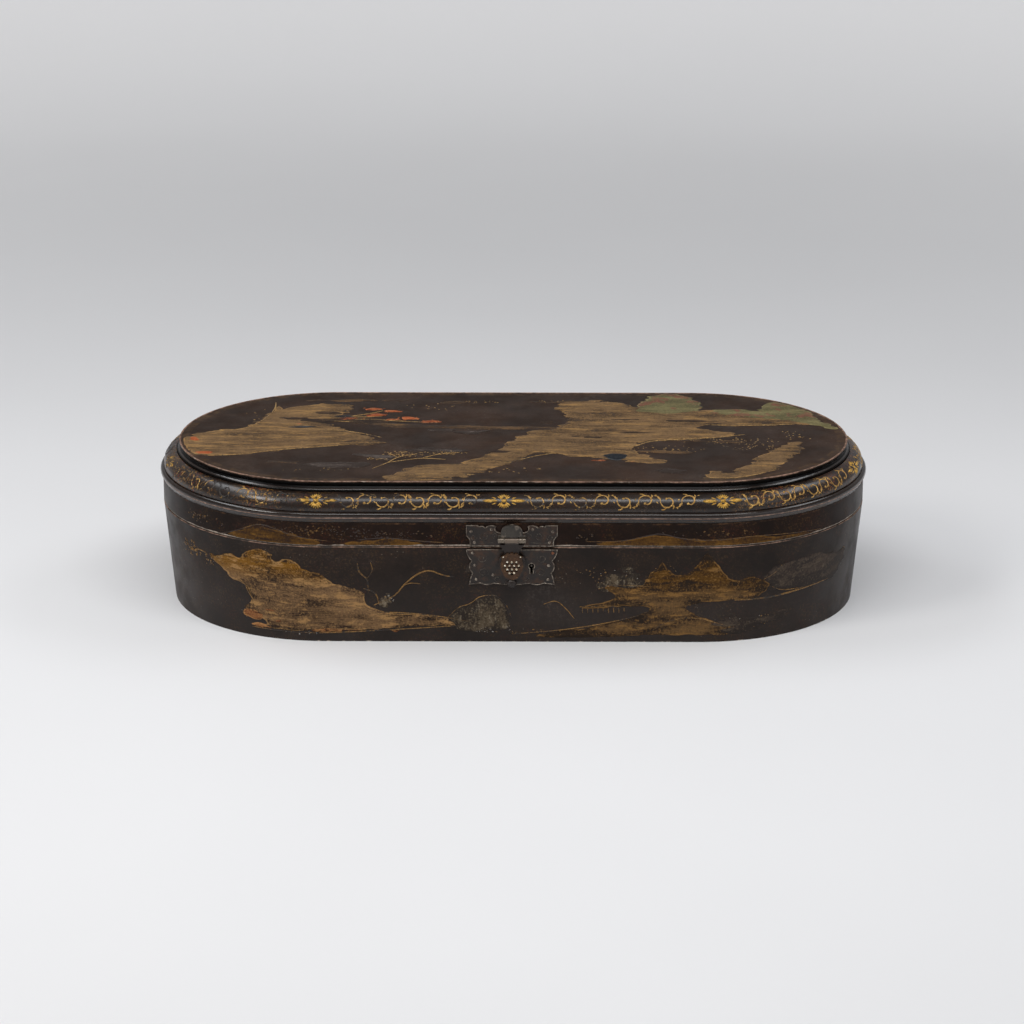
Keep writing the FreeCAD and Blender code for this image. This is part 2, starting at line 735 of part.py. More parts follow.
def hasp_mount():
    """Domed tongue on the upper plate that ends in the two outer knuckles."""
    half = TONGUE_HALF_WIDTH
    top = LID_PLATE_TOP
    steps = [
        (half, TONGUE_SIDE),
        (half - 2.0, top - 1.2, 0, top),
        (-half + 2.0, top - 1.2, -half, TONGUE_SIDE),
        (-half, BARREL_HEIGHT),
    ]
    tongue = plate((half, BARREL_HEIGHT), steps, TONGUE_RISE, PLATE)
    centre = TONGUE_CROWN - PLATE - TONGUE_RISE
    dome = rod(Vector(0, centre, BARREL_HEIGHT - OVERRUN), Vector(0, centre, top + OVERRUN), TONGUE_CROWN)
    tongue = on_lid_front(tongue.common(dome))
    middle = BARREL_MIDDLE / 2
    end = BARREL_LENGTH / 2
    tongue = tongue.cut(hasp_barrel(-end, end, BARREL_RADIUS + PART_GAP))
    foot_top = BARREL_HEIGHT + 2 * BARREL_RADIUS
    bridges = []
    for side in (-1, 1):
        x0, x1 = sorted((side * (middle + PART_GAP), side * end))
        bridges.append(hasp_barrel(x0, x1, BARREL_RADIUS))
        foot = wall_box(x0, x1, PLATE, PLATE + BARREL_RADIUS / 2, BARREL_HEIGHT, foot_top)
        bridges.append(on_lid_front(foot))
    body = tongue.fuse(bridges).removeSplitter()
    return body.cut(hasp_barrel(-end - OVERRUN, end + OVERRUN, HASP_PIN_RADIUS))


def hasp_hinge_pin():
    end = BARREL_LENGTH / 2 + PART_GAP
    return hasp_barrel(-end, end, HASP_PIN_RADIUS)


def strap_w():
    """Distance of the back of the hasp strap from the wall. The strap is in line with
    its barrel, which leaves the lid room to swing up past the lower plate."""
    return BARREL_W - STRAP / 2


def hasp_strap():
    """Strap with the middle knuckle, hanging in front of the lower plate."""
    sheet = on_base_front(symmetric_plate(strap_outline(), STRAP, strap_w()))
    middle = BARREL_MIDDLE / 2
    knuckle = hasp_barrel(-middle, middle, BARREL_RADIUS)
    body = sheet.fuse(knuckle).removeSplitter()
    bore = hasp_barrel(-middle - OVERRUN, middle + OVERRUN, HASP_PIN_RADIUS + RUNNING_CLEARANCE)
    return body.cut(bore)


def hasp_shield():
    """Pierced shield with a raised border, riveted to the strap."""
    w = strap_w() + STRAP
    sheet = symmetric_plate(shield_outline(), SHIELD, w, (0, SHIELD_TOP + 0.9))
    holes = []
    middle_v = (SHIELD_TOP + SHIELD_TIP) / 2
    row_pitch = SHIELD_HOLE_PITCH * math.sin(math.radians(60))
    for row, count in enumerate(SHIELD_HOLE_ROWS, start=-2):
        for i in range(count):
            x = (i - (count - 1) / 2) * SHIELD_HOLE_PITCH
            v = middle_v + row * row_pitch
            holes.append(wall_rod(x, v, w - OVERRUN, w + SHIELD + OVERRUN, SHIELD_HOLE_RADIUS))
    return on_base_front(sheet.cut(holes))


def hasp_boss():
    """Domed pull at the tip of the strap."""
    w = strap_w() + STRAP
    foot = w + BOSS_FOOT
    r, rise = cap_middle(BOSS_RADIUS, BOSS_RISE)
    steps = [
        (BOSS_RADIUS, w),
        (BOSS_RADIUS, foot),
        (r, foot + rise, 0, foot + BOSS_RISE),
    ]
    wire = path((0, w), steps, lambda r, out: Vector(r, -out, BOSS_HEIGHT))
    face = Part.Face(wire)
    return on_base_front(face.revolve(Vector(0, 0, BOSS_HEIGHT), Vector(0, 1, 0), 360))


def hasp_staple():
    """Pierced lug on the back of the strap that the bolt locks."""
    half = STAPLE_WIDTH / 2
    lug = wall_box(-half, half, -STAPLE_REACH, strap_w(), STAPLE_BOTTOM, STAPLE_TOP)
    v0, v1, w0, w1 = eye_range()
    return on_base_front(lug.cut(wall_box(-half - OVERRUN, half + OVERRUN, w0, w1, v0, v1)))


# Back hinges

HINGE_Y = END_RADIUS - BASE_INSET_TOP + KNUCKLE_RADIUS + PART_GAP
HINGE_Z = BASE_HEIGHT


def hinge_rod(x0, x1, radius, x=0.0):
    return rod(Vector(x + x0, HINGE_Y, HINGE_Z), Vector(x + x1, HINGE_Y, HINGE_Z), radius)


def outer_knuckles(radius, extra):
    """The pair of knuckles at the ends of a hinge, longer by extra at each end."""
    middle = KNUCKLE_MIDDLE / 2
    end = LEAF_WIDTH / 2
    right = hinge_rod(middle - extra, end + extra, radius)
    left = hinge_rod(-end - extra, -middle + extra, radius)
    return [left, right]


def base_leaf(x):
    """Leaf on the back of the base, with a pointed foot and the two outer knuckles."""
    half = LEAF_WIDTH / 2
    low = -BASE_LEAF_HEIGHT
    right = [
        (half, 0),
        (half, low * 0.36),
        (half - 4.6, low * 0.44, half - 4.2, low * 0.66),
        (half - 9.0, low * 0.8, 0, low),
    ]
    leaf = to_back(on_base_front(symmetric_plate(right, PLATE)), 0)
    middle = KNUCKLE_MIDDLE / 2
    leaf = leaf.cut(hinge_rod(-middle - PART_GAP, middle + PART_GAP, KNUCKLE_RADIUS + PART_GAP))
    leaf = leaf.fuse(outer_knuckles(KNUCKLE_RADIUS, -PART_GAP)).removeSplitter()
    bore = hinge_rod(-half - OVERRUN, half + OVERRUN, HINGE_PIN_RADIUS)
    return leaf.cut(bore).translated(Vector(x, 0, 0))


def lid_leaf(x):
    """Leaf on the back of the lid, with the middle knuckle."""
    half = LEAF_WIDTH / 2
    low = JOINT_GAP
    top = LEAF_HEIGHT
    right = [
        (half - 6.6, top * 0.86),
        (half - 3.4, top * 0.62, half, top * 0.5),
        (half, low),
    ]
    leaf = to_back(on_lid_front(symmetric_plate(right, PLATE, 0, (0, top))), 0)
    leaf = leaf.cut(outer_knuckles(KNUCKLE_RADIUS + PART_GAP, PART_GAP))
    middle = KNUCKLE_MIDDLE / 2
    leaf = leaf.fuse(hinge_rod(-middle, middle, KNUCKLE_RADIUS)).removeSplitter()
    bore = hinge_rod(-half - OVERRUN, half + OVERRUN, HINGE_PIN_RADIUS + RUNNING_CLEARANCE)
    return leaf.cut(bore).translated(Vector(x, 0, 0))


def hinge_pin(x):
    end = LEAF_WIDTH / 2
    pin = hinge_rod(-end, end, HINGE_PIN_RADIUS, x)
    for side in (-1, 1):
        x0, x1 = sorted((side * end, side * (end + PIN_HEAD)))
        pin = pin.fuse(hinge_rod(x0, x1, HINGE_PIN_RADIUS + PIN_HEAD_LIP, x))
    return pin


# Lid

def lid_wall():
    """Upright wall of the lid, stepped outside for the bead and the ovolo."""
    step = FASCIA_INSET + BEAD_SEAT
    inner = LID_WALL_INNER_INSET
    steps = [
        (FASCIA_INSET, BEAD_BOTTOM),
        (step, BEAD_BOTTOM),
        (step, OVOLO_BOTTOM),
        (step + OVOLO_SEAT, OVOLO_BOTTOM),
        (step + OVOLO_SEAT, LEDGE_BOTTOM),
        (inner, LEDGE_BOTTOM),
        (inner, LID_BOTTOM),
        (FASCIA_INSET + FASCIA_CHAMFER, LID_BOTTOM),
    ]
    return ring((FASCIA_INSET, LID_BOTTOM + FASCIA_CHAMFER), steps)


def lid_bead():
    """Half-round bead round the lid, sloped in below."""
    seat = FASCIA_INSET + BEAD_SEAT
    top = BEAD_BOTTOM + BEAD_HEIGHT
    start = BEAD_BOTTOM + BEAD_COVE
    steps = [
        (BEAD_EDGE_INSET, start),
        (0, (start + top) / 2, BEAD_EDGE_INSET, top),
        (seat, top),
        (seat, BEAD_BOTTOM),
    ]
    return ring((FASCIA_INSET, BEAD_BOTTOM), steps)


def lid_ovolo():
    """Convex moulding over the bead, with a ledge inside that carries the top panel."""
    seat = FASCIA_INSET + BEAD_SEAT + OVOLO_SEAT
    belly_z = OVOLO_BOTTOM + OVOLO_HEIGHT * OVOLO_BELLY_SHARE
    steps = [
        (OVOLO_BELLY_INSET, belly_z, OVOLO_HEAD_INSET, OVOLO_TOP),
        (OVOLO_HEAD_INSET + OVOLO_LIP, OVOLO_TOP - OVOLO_CHAMFER),
        (OVOLO_HEAD_INSET + OVOLO_LIP, LEDGE_TOP),
        (LEDGE_INSET, LEDGE_TOP),
        (LEDGE_INSET, LEDGE_BOTTOM),
        (seat, LEDGE_BOTTOM),
        (seat, OVOLO_BOTTOM),
    ]
    return ring((OVOLO_FOOT_INSET, OVOLO_BOTTOM), steps)


def lid_top_board():
    """Top panel: a rounded shoulder, a hollow neck and a sharp, slightly raised rim."""
    core_inset = LEDGE_INSET
    shoulder = OVOLO_TOP + SHOULDER_RISE
    top = PANEL_TOP
    flat = top - RIM_RISE
    steps = [
        (PANEL_FOOT_INSET, shoulder - SHOULDER_WIDTH / 2),
        (PANEL_FOOT_INSET + SHOULDER_WIDTH / 4, shoulder - SHOULDER_WIDTH / 8),
        (PANEL_FOOT_INSET + SHOULDER_WIDTH, shoulder),
        (PANEL_NECK_INSET, shoulder + NECK_RISE),
        (PANEL_RIM_INSET + RIM_EDGE, top - 2 * RIM_EDGE),
        (PANEL_RIM_INSET, top - RIM_EDGE),
        (PANEL_RIM_INSET + RIM_EDGE, top),
        (PANEL_RIM_INSET + RIM_WIDTH - RIM_RISE, top),
        (PANEL_RIM_INSET + RIM_WIDTH, flat),
        (core_inset, flat),
        (core_inset, LEDGE_TOP),
    ]
    rim = ring((PANEL_FOOT_INSET, LEDGE_TOP), steps)
    return rim.fuse(stadium(core_inset, LEDGE_TOP, flat)).removeSplitter()


def nodes():
    """Every piece of the box by name."""
    made = {
        "base_wall": base_wall(),
        "base_board": base_board(),
        "base_lip": base_lip(),
        "lock_plate": lock_plate(),
        "lock_case": lock_case(),
        "lock_bolt": lock_bolt(),
        "bolt_guides": bolt_guides(),
        "bolt_spring": bolt_spring(),
        "key_pin": key_pin(),
        "inkstone_board": inkstone_board(),
        "inkstone": inkstone(),
        "water_dropper": water_dropper(),
        "ink_stick": ink_stick(),
        "lid_wall": lid_wall(),
        "lid_bead": lid_bead(),
        "lid_ovolo": lid_ovolo(),
        "lid_top_board": lid_top_board(),
        "hasp_plate": hasp_plate(),
        "hasp_mount": hasp_mount(),
        "hasp_hinge_pin": hasp_hinge_pin(),
        "hasp_strap": hasp_strap(),
        "hasp_shield": hasp_shield(),
        "hasp_boss": hasp_boss(),
        "hasp_staple": hasp_staple(),
    }
    for side, name in ((-1, "left"), (1, "right")):
        x = side * HINGE_SPACING / 2
        made["partition_" + name] = partition(side)
        made["tray_" + name] = tray(side)
        made["hinge_base_leaf_" + name] = base_leaf(x)
        made["hinge_lid_leaf_" + name] = lid_leaf(x)
        made["hinge_pin_" + name] = hinge_pin(x)
    for index, name in enumerate(("large", "small")):
        handle, tuft = brush_parts(index)
        made["brush_handle_" + name] = handle
        made["brush_hair_" + name] = tuft
    return made


def main():
    os.makedirs("parts", exist_ok=True)
    for name, shape in nodes().items():
        for solid in shape.Solids:
            if not solid.isValid() or not solid.isClosed():
                raise ValueError(name + " has a solid that is open or not valid")
        shape.exportStep(os.path.join("parts", name + ".step"))
        print(name, len(shape.Solids), round(shape.Volume, 1))


main()
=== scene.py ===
import math
import random
from functools import partial, reduce

import bmesh
import bpy
import numpy as np
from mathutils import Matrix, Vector, noise


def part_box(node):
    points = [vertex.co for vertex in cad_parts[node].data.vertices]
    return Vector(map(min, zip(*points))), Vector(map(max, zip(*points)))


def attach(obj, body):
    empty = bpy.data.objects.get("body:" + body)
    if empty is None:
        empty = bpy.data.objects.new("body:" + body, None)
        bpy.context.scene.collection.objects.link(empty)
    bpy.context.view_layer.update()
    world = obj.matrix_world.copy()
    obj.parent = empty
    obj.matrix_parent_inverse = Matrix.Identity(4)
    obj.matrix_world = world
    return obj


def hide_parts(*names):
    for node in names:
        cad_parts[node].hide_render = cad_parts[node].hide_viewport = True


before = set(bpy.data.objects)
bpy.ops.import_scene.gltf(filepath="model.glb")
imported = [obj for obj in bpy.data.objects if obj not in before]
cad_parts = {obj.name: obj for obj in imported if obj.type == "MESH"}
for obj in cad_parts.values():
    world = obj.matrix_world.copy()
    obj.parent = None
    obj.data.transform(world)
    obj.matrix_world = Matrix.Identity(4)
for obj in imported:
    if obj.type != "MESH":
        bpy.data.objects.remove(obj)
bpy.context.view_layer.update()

# Looks of the writing box. Blender's lengths are metres. The painted work is laid out
# in millimetres on surfaces of the box: (x, y) on the lid's top, (distance along the
# wall, height over its lower edge) on the fascia, (distance along the wall, distance
# below the joint) on the base, and (distance along, distance across) on the ovolo.
# The distances along run from the front middle, to the right. Insets are measured
# inward from the outermost line of the box.

MM = 0.001
LENGTH = 560.0
END_RADIUS = 136.6
STRAIGHT = LENGTH / 2 - END_RADIUS
PERIMETER = 4 * STRAIGHT + 2 * math.pi * END_RADIUS
FAR_SIDE = PERIMETER / 2

BASE_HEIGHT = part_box("base_wall")[1].z / MM
LID_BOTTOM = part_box("lid_wall")[0].z / MM
BEAD_BOTTOM, BEAD_TOP = (corner.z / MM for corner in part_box("lid_bead"))
PANEL_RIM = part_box("lid_top_board")[1].z / MM
PANEL_TOP = PANEL_RIM - 0.3
OVOLO_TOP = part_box("lid_ovolo")[1].z / MM
OVOLO_BOTTOM = BEAD_TOP + 0.4
BASE_INSET_BOTTOM = 9.2
BASE_INSET_TOP = 1.9
FASCIA_INSET = 2.0
FASCIA_HEIGHT = BEAD_BOTTOM - LID_BOTTOM
PANEL_RIM_INSET = 15.3
PANEL_FLAT_INSET = 16.8
PANEL_BAND = 18.5
PLATE = 1.2
SHIELD_FRONT = 5.25
TAPER = math.atan((BASE_INSET_BOTTOM - BASE_INSET_TOP) / BASE_HEIGHT)


def tone(red, green, blue):
    """Linear colour from screen levels of 0 to 255."""
    return tuple((level / 255) ** 2.2 for level in (red, green, blue))


def shaded(colour, share):
    return tuple(channel * share for channel in colour)


LACQUER = tone(32, 25, 21)
LACQUER_BROWN = tone(45, 35, 29)
LACQUER_HAZE = tone(62, 57, 55)
PANEL_LACQUER = tone(45, 35, 29)
PANEL_BROWN = tone(60, 45, 36)
RED_BROWN = tone(42, 29, 23)
LIGHT_WEAR = tone(178, 164, 150)
PINK_WEAR = tone(146, 117, 101)
BROWN_WEAR = tone(92, 68, 50)


# Shader building

class Shader:
    """Node tree of one material, with a short call for each kind of node."""

    def __init__(self, name):
        self.material = bpy.data.materials.new(name)
        self.material.use_nodes = True
        self.tree = self.material.node_tree
        self.bsdf = self.tree.nodes["Principled BSDF"]
        self.place = self.node("ShaderNodeTexCoord").outputs["Object"]

    def node(self, kind, inputs=None, **settings):
        """New node with its settings, and with values or sockets fed to its inputs."""
        made = self.tree.nodes.new(kind)
        for key, value in settings.items():
            setattr(made, key, value)
        for key, value in (inputs or {}).items():
            self.feed(made.inputs[key], value)
        return made

    def feed(self, socket, value):
        if isinstance(value, bpy.types.NodeSocket):
            self.tree.links.new(value, socket)
        elif isinstance(value, tuple) and socket.type == "RGBA":
            socket.default_value = (*value, 1)
        else:
            socket.default_value = value

    def set(self, name, value):
        self.feed(self.bsdf.inputs[name], value)

    def math(self, operation, a, b=0.0):
        return self.node("ShaderNodeMath", {0: a, 1: b}, operation=operation).outputs[0]

    def product(self, *values):
        return reduce(partial(self.math, "MULTIPLY"), values)

    def total(self, *values):
        return reduce(partial(self.math, "ADD"), values)

    def root_of_squares(self, a, b):
        return self.math("SQRT", self.total(self.product(a, a), self.product(b, b)))

    def stretched(self, x, y, z):
        return self.node("ShaderNodeMapping", {"Vector": self.place, "Scale": (x, y, z)}).outputs[0]

    def noise(self, size_mm, detail=4.0, roughness=0.55, place=None):
        """Fractal noise whose largest features are about size_mm."""
        inputs = {"Vector": place or self.place, "Scale": 1000 / size_mm, "Detail": detail,
            "Roughness": roughness}
        return self.node("ShaderNodeTexNoise", inputs).outputs["Fac"]

    def cells(self, size_mm):
        """Distance from the middle of scattered cells."""
        inputs = {"Vector": self.place, "Scale": 1000 / size_mm}
        return self.node("ShaderNodeTexVoronoi", inputs, feature="F1").outputs["Distance"]

    def span(self, value, low, high, out_low=0.0, out_high=1.0):
        """Smooth step from low to high."""
        inputs = {"Value": value, "From Min": low, "From Max": high, "To Min": out_low,
            "To Max": out_high}
        return self.node("ShaderNodeMapRange", inputs,
            interpolation_type="SMOOTHSTEP").outputs["Result"]

    def mix(self, factor, a, b):
        return self.node("ShaderNodeMix", {0: factor, 6: a, 7: b}, data_type="RGBA").outputs[2]

    def blend(self, factor, a, b):
        """Number between a and b."""
        return self.node("ShaderNodeMix", {0: factor, 2: a, 3: b}, data_type="FLOAT").outputs[0]

    def attribute(self, name):
        return self.node("ShaderNodeAttribute", attribute_name=name).outputs["Fac"]

    def axes(self):
        return self.node("ShaderNodeSeparateXYZ", {0: self.place}).outputs

    def inset(self):
        """Distance inward from the outermost line of the box, in millimetres."""
        x, y, _ = self.axes()
        beyond = self.math("MAXIMUM", self.math("SUBTRACT", self.math("ABSOLUTE", x),
            STRAIGHT * MM), 0.0)
        flat = self.node("ShaderNodeCombineXYZ", {0: beyond, 1: y}).outputs[0]
        length = self.node("ShaderNodeVectorMath", {0: flat}, operation="LENGTH").outputs["Value"]
        return self.math("SUBTRACT", END_RADIUS, self.product(length, 1000.0))

    def height(self):
        """Height over the table in millimetres."""
        return self.product(self.axes()[2], 1000.0)

    def near_edge(self, inset, z, reach):
        """1 on the line round the box at (inset, z), falling to 0 at reach millimetres."""
        across = self.math("SUBTRACT", self.inset(), inset)
        up = self.math("SUBTRACT", self.height(), z)
        return self.span(self.root_of_squares(across, up), reach, 0.0)

    def worn(self, near, grain_mm, low, high):
        """Broken mask along an edge, where near raises the chance of wear."""
        lowered = self.product(self.math("SUBTRACT", near, 1.0), 0.6)
        return self.span(self.total(self.noise(grain_mm, 5, 0.62), lowered), low, high)

    def bump(self, height, distance_mm, strength=1.0):
        inputs = {"Strength": strength, "Distance": distance_mm * MM, "Height": height}
        self.set("Normal", self.node("ShaderNodeBump", inputs).outputs[0])


def lacquer(name, dark, brown, edges=(), gloss=(0.3, 0.5), shine=0.3, scuffs=0.35, dust=0.0,
        border=None, below=None, by_end=False, haze=None):
    """Aged lacquer. Each of edges is (inset, z, reach, grain, colour, low, high). Outside and
    under the height called below it is painted near black, as the shade in the undercut under
    the panel's rim, and made glossy. by_end keeps the gold dust to the ends.
    haze is (height, height, share) for a grey bloom that fades out between the heights."""
    s = Shader(name)
    fine = s.noise(2.2, 4, 0.6)
    colour = s.mix(s.span(s.noise(60, 5, 0.6), 0.36, 0.66), dark, brown)
    colour = s.mix(s.span(fine, 0.3, 0.8, 0.0, 0.5), colour, shaded(dark, 0.5))
    bloom = s.product(s.span(s.noise(46, 3, 0.5), 0.54, 0.74),
        s.span(s.noise(3.0, 6, 0.75), 0.45, 0.68), scuffs)
    colour = s.mix(bloom, colour, tone(86, 78, 73))
    streaks = s.noise(7, 4, 0.65, s.stretched(0.14, 0.5, 1.5))
    colour = s.mix(s.span(streaks, 0.6, 0.76, 0.0, 0.4), colour, shaded(brown, 1.9))
    specks = s.product(s.span(s.cells(4.2), 0.115, 0.07), s.span(s.noise(60, 2), 0.5, 0.62))
    colour = s.mix(s.product(specks, 0.5), colour, tone(130, 118, 106))
    if haze:
        foot, head, share = haze
        cloud = s.product(s.span(s.height(), head, foot),
            s.span(s.noise(50, 4, 0.6), 0.3, 0.7, 0.45, 1.0), share)
        colour = s.mix(cloud, colour, LACQUER_HAZE)
    if dust:
        flakes = s.span(s.noise(1.5, 2, 0.7), 0.53, 0.62)
        patch = s.span(s.noise(30, 4, 0.65), 0.4, 0.6)
        if by_end:
            away = s.span(s.math("ABSOLUTE", s.axes()[0]), 0.13, 0.19, 0.12, 1.0)
            patch = s.product(patch, away)
        gold = s.mix(s.span(s.noise(9, 3), 0.45, 0.6), tone(132, 96, 50), tone(112, 56, 34))
        colour = s.mix(s.product(flakes, patch, dust), colour, gold)
    if border:
        low, high = border
        inset = s.inset()
        inside = s.product(s.span(inset, low, low + 0.9), s.span(inset, high, high - 0.9))
        faded = s.span(s.noise(8, 6, 0.75), 0.42, 0.64)
        colour = s.mix(s.product(inside, faded, 0.4), colour, tone(96, 74, 50))
    rough = s.blend(s.span(s.noise(26, 4, 0.6), 0.35, 0.7), *gloss)
    # Painted shade: outward of the panel's flat and under the height called below, the colour goes
    # near black for the shade in the undercut below the rim.
    if below:
        under = s.product(s.span(s.height(), below, below - 0.4), s.span(s.inset(), 18.6, 17.6))
        colour = s.mix(under, colour, tone(13, 11, 10))
        rough = s.blend(under, rough, 0.22)
    worn_all = 0.0
    for inset_at, z, reach, grain, tint, low, high in edges:
        worn = s.worn(s.near_edge(inset_at, z, reach), grain, low, high)
        colour = s.mix(worn, colour, s.mix(s.span(s.noise(3.2, 3, 0.7), 0.35, 0.65),
            shaded(tint, 0.35), tint))
        worn_all = s.math("MAXIMUM", worn, worn_all)
    s.set("Base Color", colour)
    s.set("Roughness", s.blend(s.math("MAXIMUM", bloom, worn_all), rough, 0.65))
    s.set("Specular IOR Level", shine)
    s.bump(s.total(s.product(s.noise(5, 5, 0.65), 0.6), s.product(worn_all, -0.5)), 0.12, 0.5)
    return s.material


def metal(name, colour, bright, roughness, grain_mm=3.0, bump_mm=0.1, low=0.52, high=0.74,
          shares=(0.45, 0.8), barrel_highlight=None):
    """Patinated metal: mottled, with brighter rubbed grains. shares are the metallic shares,
    and the last argument is (height, reach) of a band painted bright as the highlight along the
    hinge barrel."""
    s = Shader(name)
    rubbed = s.span(s.noise(grain_mm, 5, 0.65), low, high)
    # Painted highlight: a bright band at the height of the hinge barrel, merged into the rubbed
    # grains.
    if barrel_highlight:
        level, reach = barrel_highlight
        off = s.math("ABSOLUTE", s.math("SUBTRACT", s.height(), level))
        highlight_band = s.product(s.span(off, reach, reach * 0.4),
            s.span(s.noise(2.0, 3), 0.25, 0.5, 0.4, 1.0))
        rubbed = s.math("MAXIMUM", rubbed, highlight_band)
    patina = s.mix(s.span(s.noise(grain_mm * 3, 5, 0.62), 0.3, 0.7), shaded(colour, 0.45), colour)
    s.set("Base Color", s.mix(rubbed, patina, bright))
    s.set("Metallic", s.blend(rubbed, *shares))
    s.set("Roughness", s.blend(rubbed, roughness, roughness * 0.7))
    s.bump(s.noise(grain_mm * 0.7, 5, 0.6), bump_mm, 0.7)
    return s.material


def painting(name, ground, low, high, line, stretch=(0.16, 0.7, 1.0), cover=0.47, patches=None,
        tops=None, hatch=0.1, wash=0.15, rim_share=0.75, streaks=1.0):
    """Worn gold painting. The attribute called edge is the distance in from the outline in
    millimetres. tops is (height, height, colour) for a tint that grows with the height."""
    s = Shader(name)
    edge = s.attribute("edge")
    grain = s.noise(1.6, 3, 0.7)
    brush = s.noise(7, 5, 0.65, s.stretched(*stretch))
    thin = s.noise(3.4, 3, 0.6, s.stretched(*stretch))
    wear = s.noise(36, 4, 0.6)
    body = s.mix(s.span(s.total(s.product(brush, 0.6), s.product(wear, 0.4)), 0.4, 0.62), low, high)
    if tops:
        foot, head, tint = tops
        rising = s.span(s.total(s.height(), s.product(s.noise(18, 3), 14.0)), foot + 7, head + 7)
        body = s.mix(rising, body, s.mix(s.span(brush, 0.35, 0.65), shaded(tint, 0.6), tint))
    if patches:
        where = s.product(s.span(s.noise(15, 3, 0.55), 0.57, 0.63), s.span(grain, 0.36, 0.5))
        body = s.mix(s.product(where, 0.85), body, patches)
    body = s.mix(s.span(thin, 0.54, 0.66, 0.0, 0.7 * streaks), body, line)
    body = s.mix(s.span(thin, 0.44, 0.34, 0.0, 0.6 * streaks), body, shaded(low, 0.4))
    body = s.mix(s.span(grain, 0.54, 0.68, 0.0, 0.5), body, line)
    body = s.mix(s.span(grain, 0.46, 0.34, 0.0, 0.5), body, shaded(low, 0.45))
    wave = s.math("SINE", s.total(s.product(edge, 3.4), s.product(s.noise(20, 2), 9.0)))
    body = s.mix(s.product(s.span(wave, 0.2, 0.95), hatch), body, line)
    rim = s.product(s.span(edge, 0.1, 0.4), s.span(edge, 1.6, 0.8),
        s.span(s.noise(17, 4, 0.6), 0.4, 0.58))
    kept = s.total(s.product(grain, 0.3), s.product(brush, 0.4), s.product(wear, 0.3),
                   s.span(edge, 0.0, 5.0, -0.05, 0.02))
    kept = s.span(kept, cover - 0.05, cover + 0.04, wash, 1.0)
    if rim_share:
        body = s.mix(s.product(rim, rim_share), body, line)
        kept = s.math("MAXIMUM", kept, s.product(rim, rim_share))
    s.set("Base Color", s.mix(kept, ground, body))
    s.set("Metallic", s.product(kept, 0.15))
    s.set("Roughness", s.blend(kept, 0.5, 0.6))
    s.set("Specular IOR Level", 0.15)
    s.bump(s.total(s.product(kept, 0.5), s.product(grain, 0.5)), 0.06, 0.5)
    return s.material


def leaf_gold(name, ground, gold, bright, worn_low, worn_high, by_side=0.0):
    """Gold line work, worn away in places. by_side moves the wear to the left end."""
    s = Shader(name)
    side = s.product(s.axes()[0], by_side)
    wear = s.total(s.product(s.noise(24, 3, 0.6), 0.5), s.product(s.noise(2.4, 4, 0.7), 0.5), side)
    kept = s.span(wear, worn_low, worn_high)
    colour = s.mix(s.span(s.noise(1.6, 3, 0.7), 0.4, 0.65), gold, bright)
    s.set("Base Color", s.mix(kept, ground, colour))
    s.set("Metallic", s.product(kept, 0.35))
    s.set("Roughness", s.blend(kept, 0.42, 0.46))
    s.bump(s.noise(1.2, 3, 0.6), 0.06, 0.6)
    return s.material


def stone_material():
    s = Shader("slate")
    grain = s.noise(3, 6, 0.65)
    layers = s.noise(26, 4, 0.5, s.stretched(0.4, 1, 3))
    colour = s.mix(s.span(layers, 0.35, 0.65), (0.022, 0.025, 0.028), (0.045, 0.047, 0.05))
    s.set("Base Color", s.mix(s.span(grain, 0.5, 0.75), colour, (0.075, 0.078, 0.08)))
    s.set("Roughness", s.span(grain, 0.2, 0.8, 0.42, 0.68))
    s.bump(grain, 0.1, 0.5)
    return s.material


def ink_material():
    s = Shader("ink_cake")
    grain = s.noise(1.6, 5, 0.6)
    s.set("Base Color", s.mix(grain, (0.008, 0.008, 0.009), (0.02, 0.019, 0.021)))
    s.set("Roughness", s.span(grain, 0.2, 0.8, 0.35, 0.6))
    s.bump(s.noise(7, 4, 0.6), 0.25, 0.6)
    return s.material


def bamboo_material():
    s = Shader("bamboo")
    fibre = s.noise(2.4, 5, 0.6, s.stretched(1, 0.03, 1))
    colour = s.mix(fibre, (0.30, 0.17, 0.065), (0.52, 0.35, 0.16))
    s.set("Base Color", s.mix(s.span(s.noise(20, 3), 0.45, 0.7, 0.0, 0.6), colour,
        (0.16, 0.08, 0.03)))
    s.set("Roughness", s.span(fibre, 0.2, 0.8, 0.3, 0.5))
    s.bump(fibre, 0.05, 0.6)
    return s.material


def hair_material():
    s = Shader("hair")
    fibre = s.noise(0.7, 4, 0.6, s.stretched(1, 0.02, 1))
    s.set("Base Color", s.mix(s.span(fibre, 0.3, 0.7), (0.10, 0.065, 0.04), (0.42, 0.33, 0.22)))
    s.set("Roughness", 0.62)
    s.bump(fibre, 0.2, 0.9)
    return s.material


# Camera, floor and light

FRAME_PIXELS = 1024
FOCAL_PIXELS = 3500
SHIFT_PIXELS = (-1.2, -1.0)
SENSOR_WIDTH = 36
CAMERA_ELEVATION = math.radians(18.2)
CAMERA_AZIMUTH = math.radians(0.43)
CAMERA_DISTANCE = 2.797
CAMERA_TARGET = Vector((0, 0, 0.064))

COOL = (0.95, 0.97, 1.0)
LIGHT_TARGET = Vector((0, 0, 0.08))
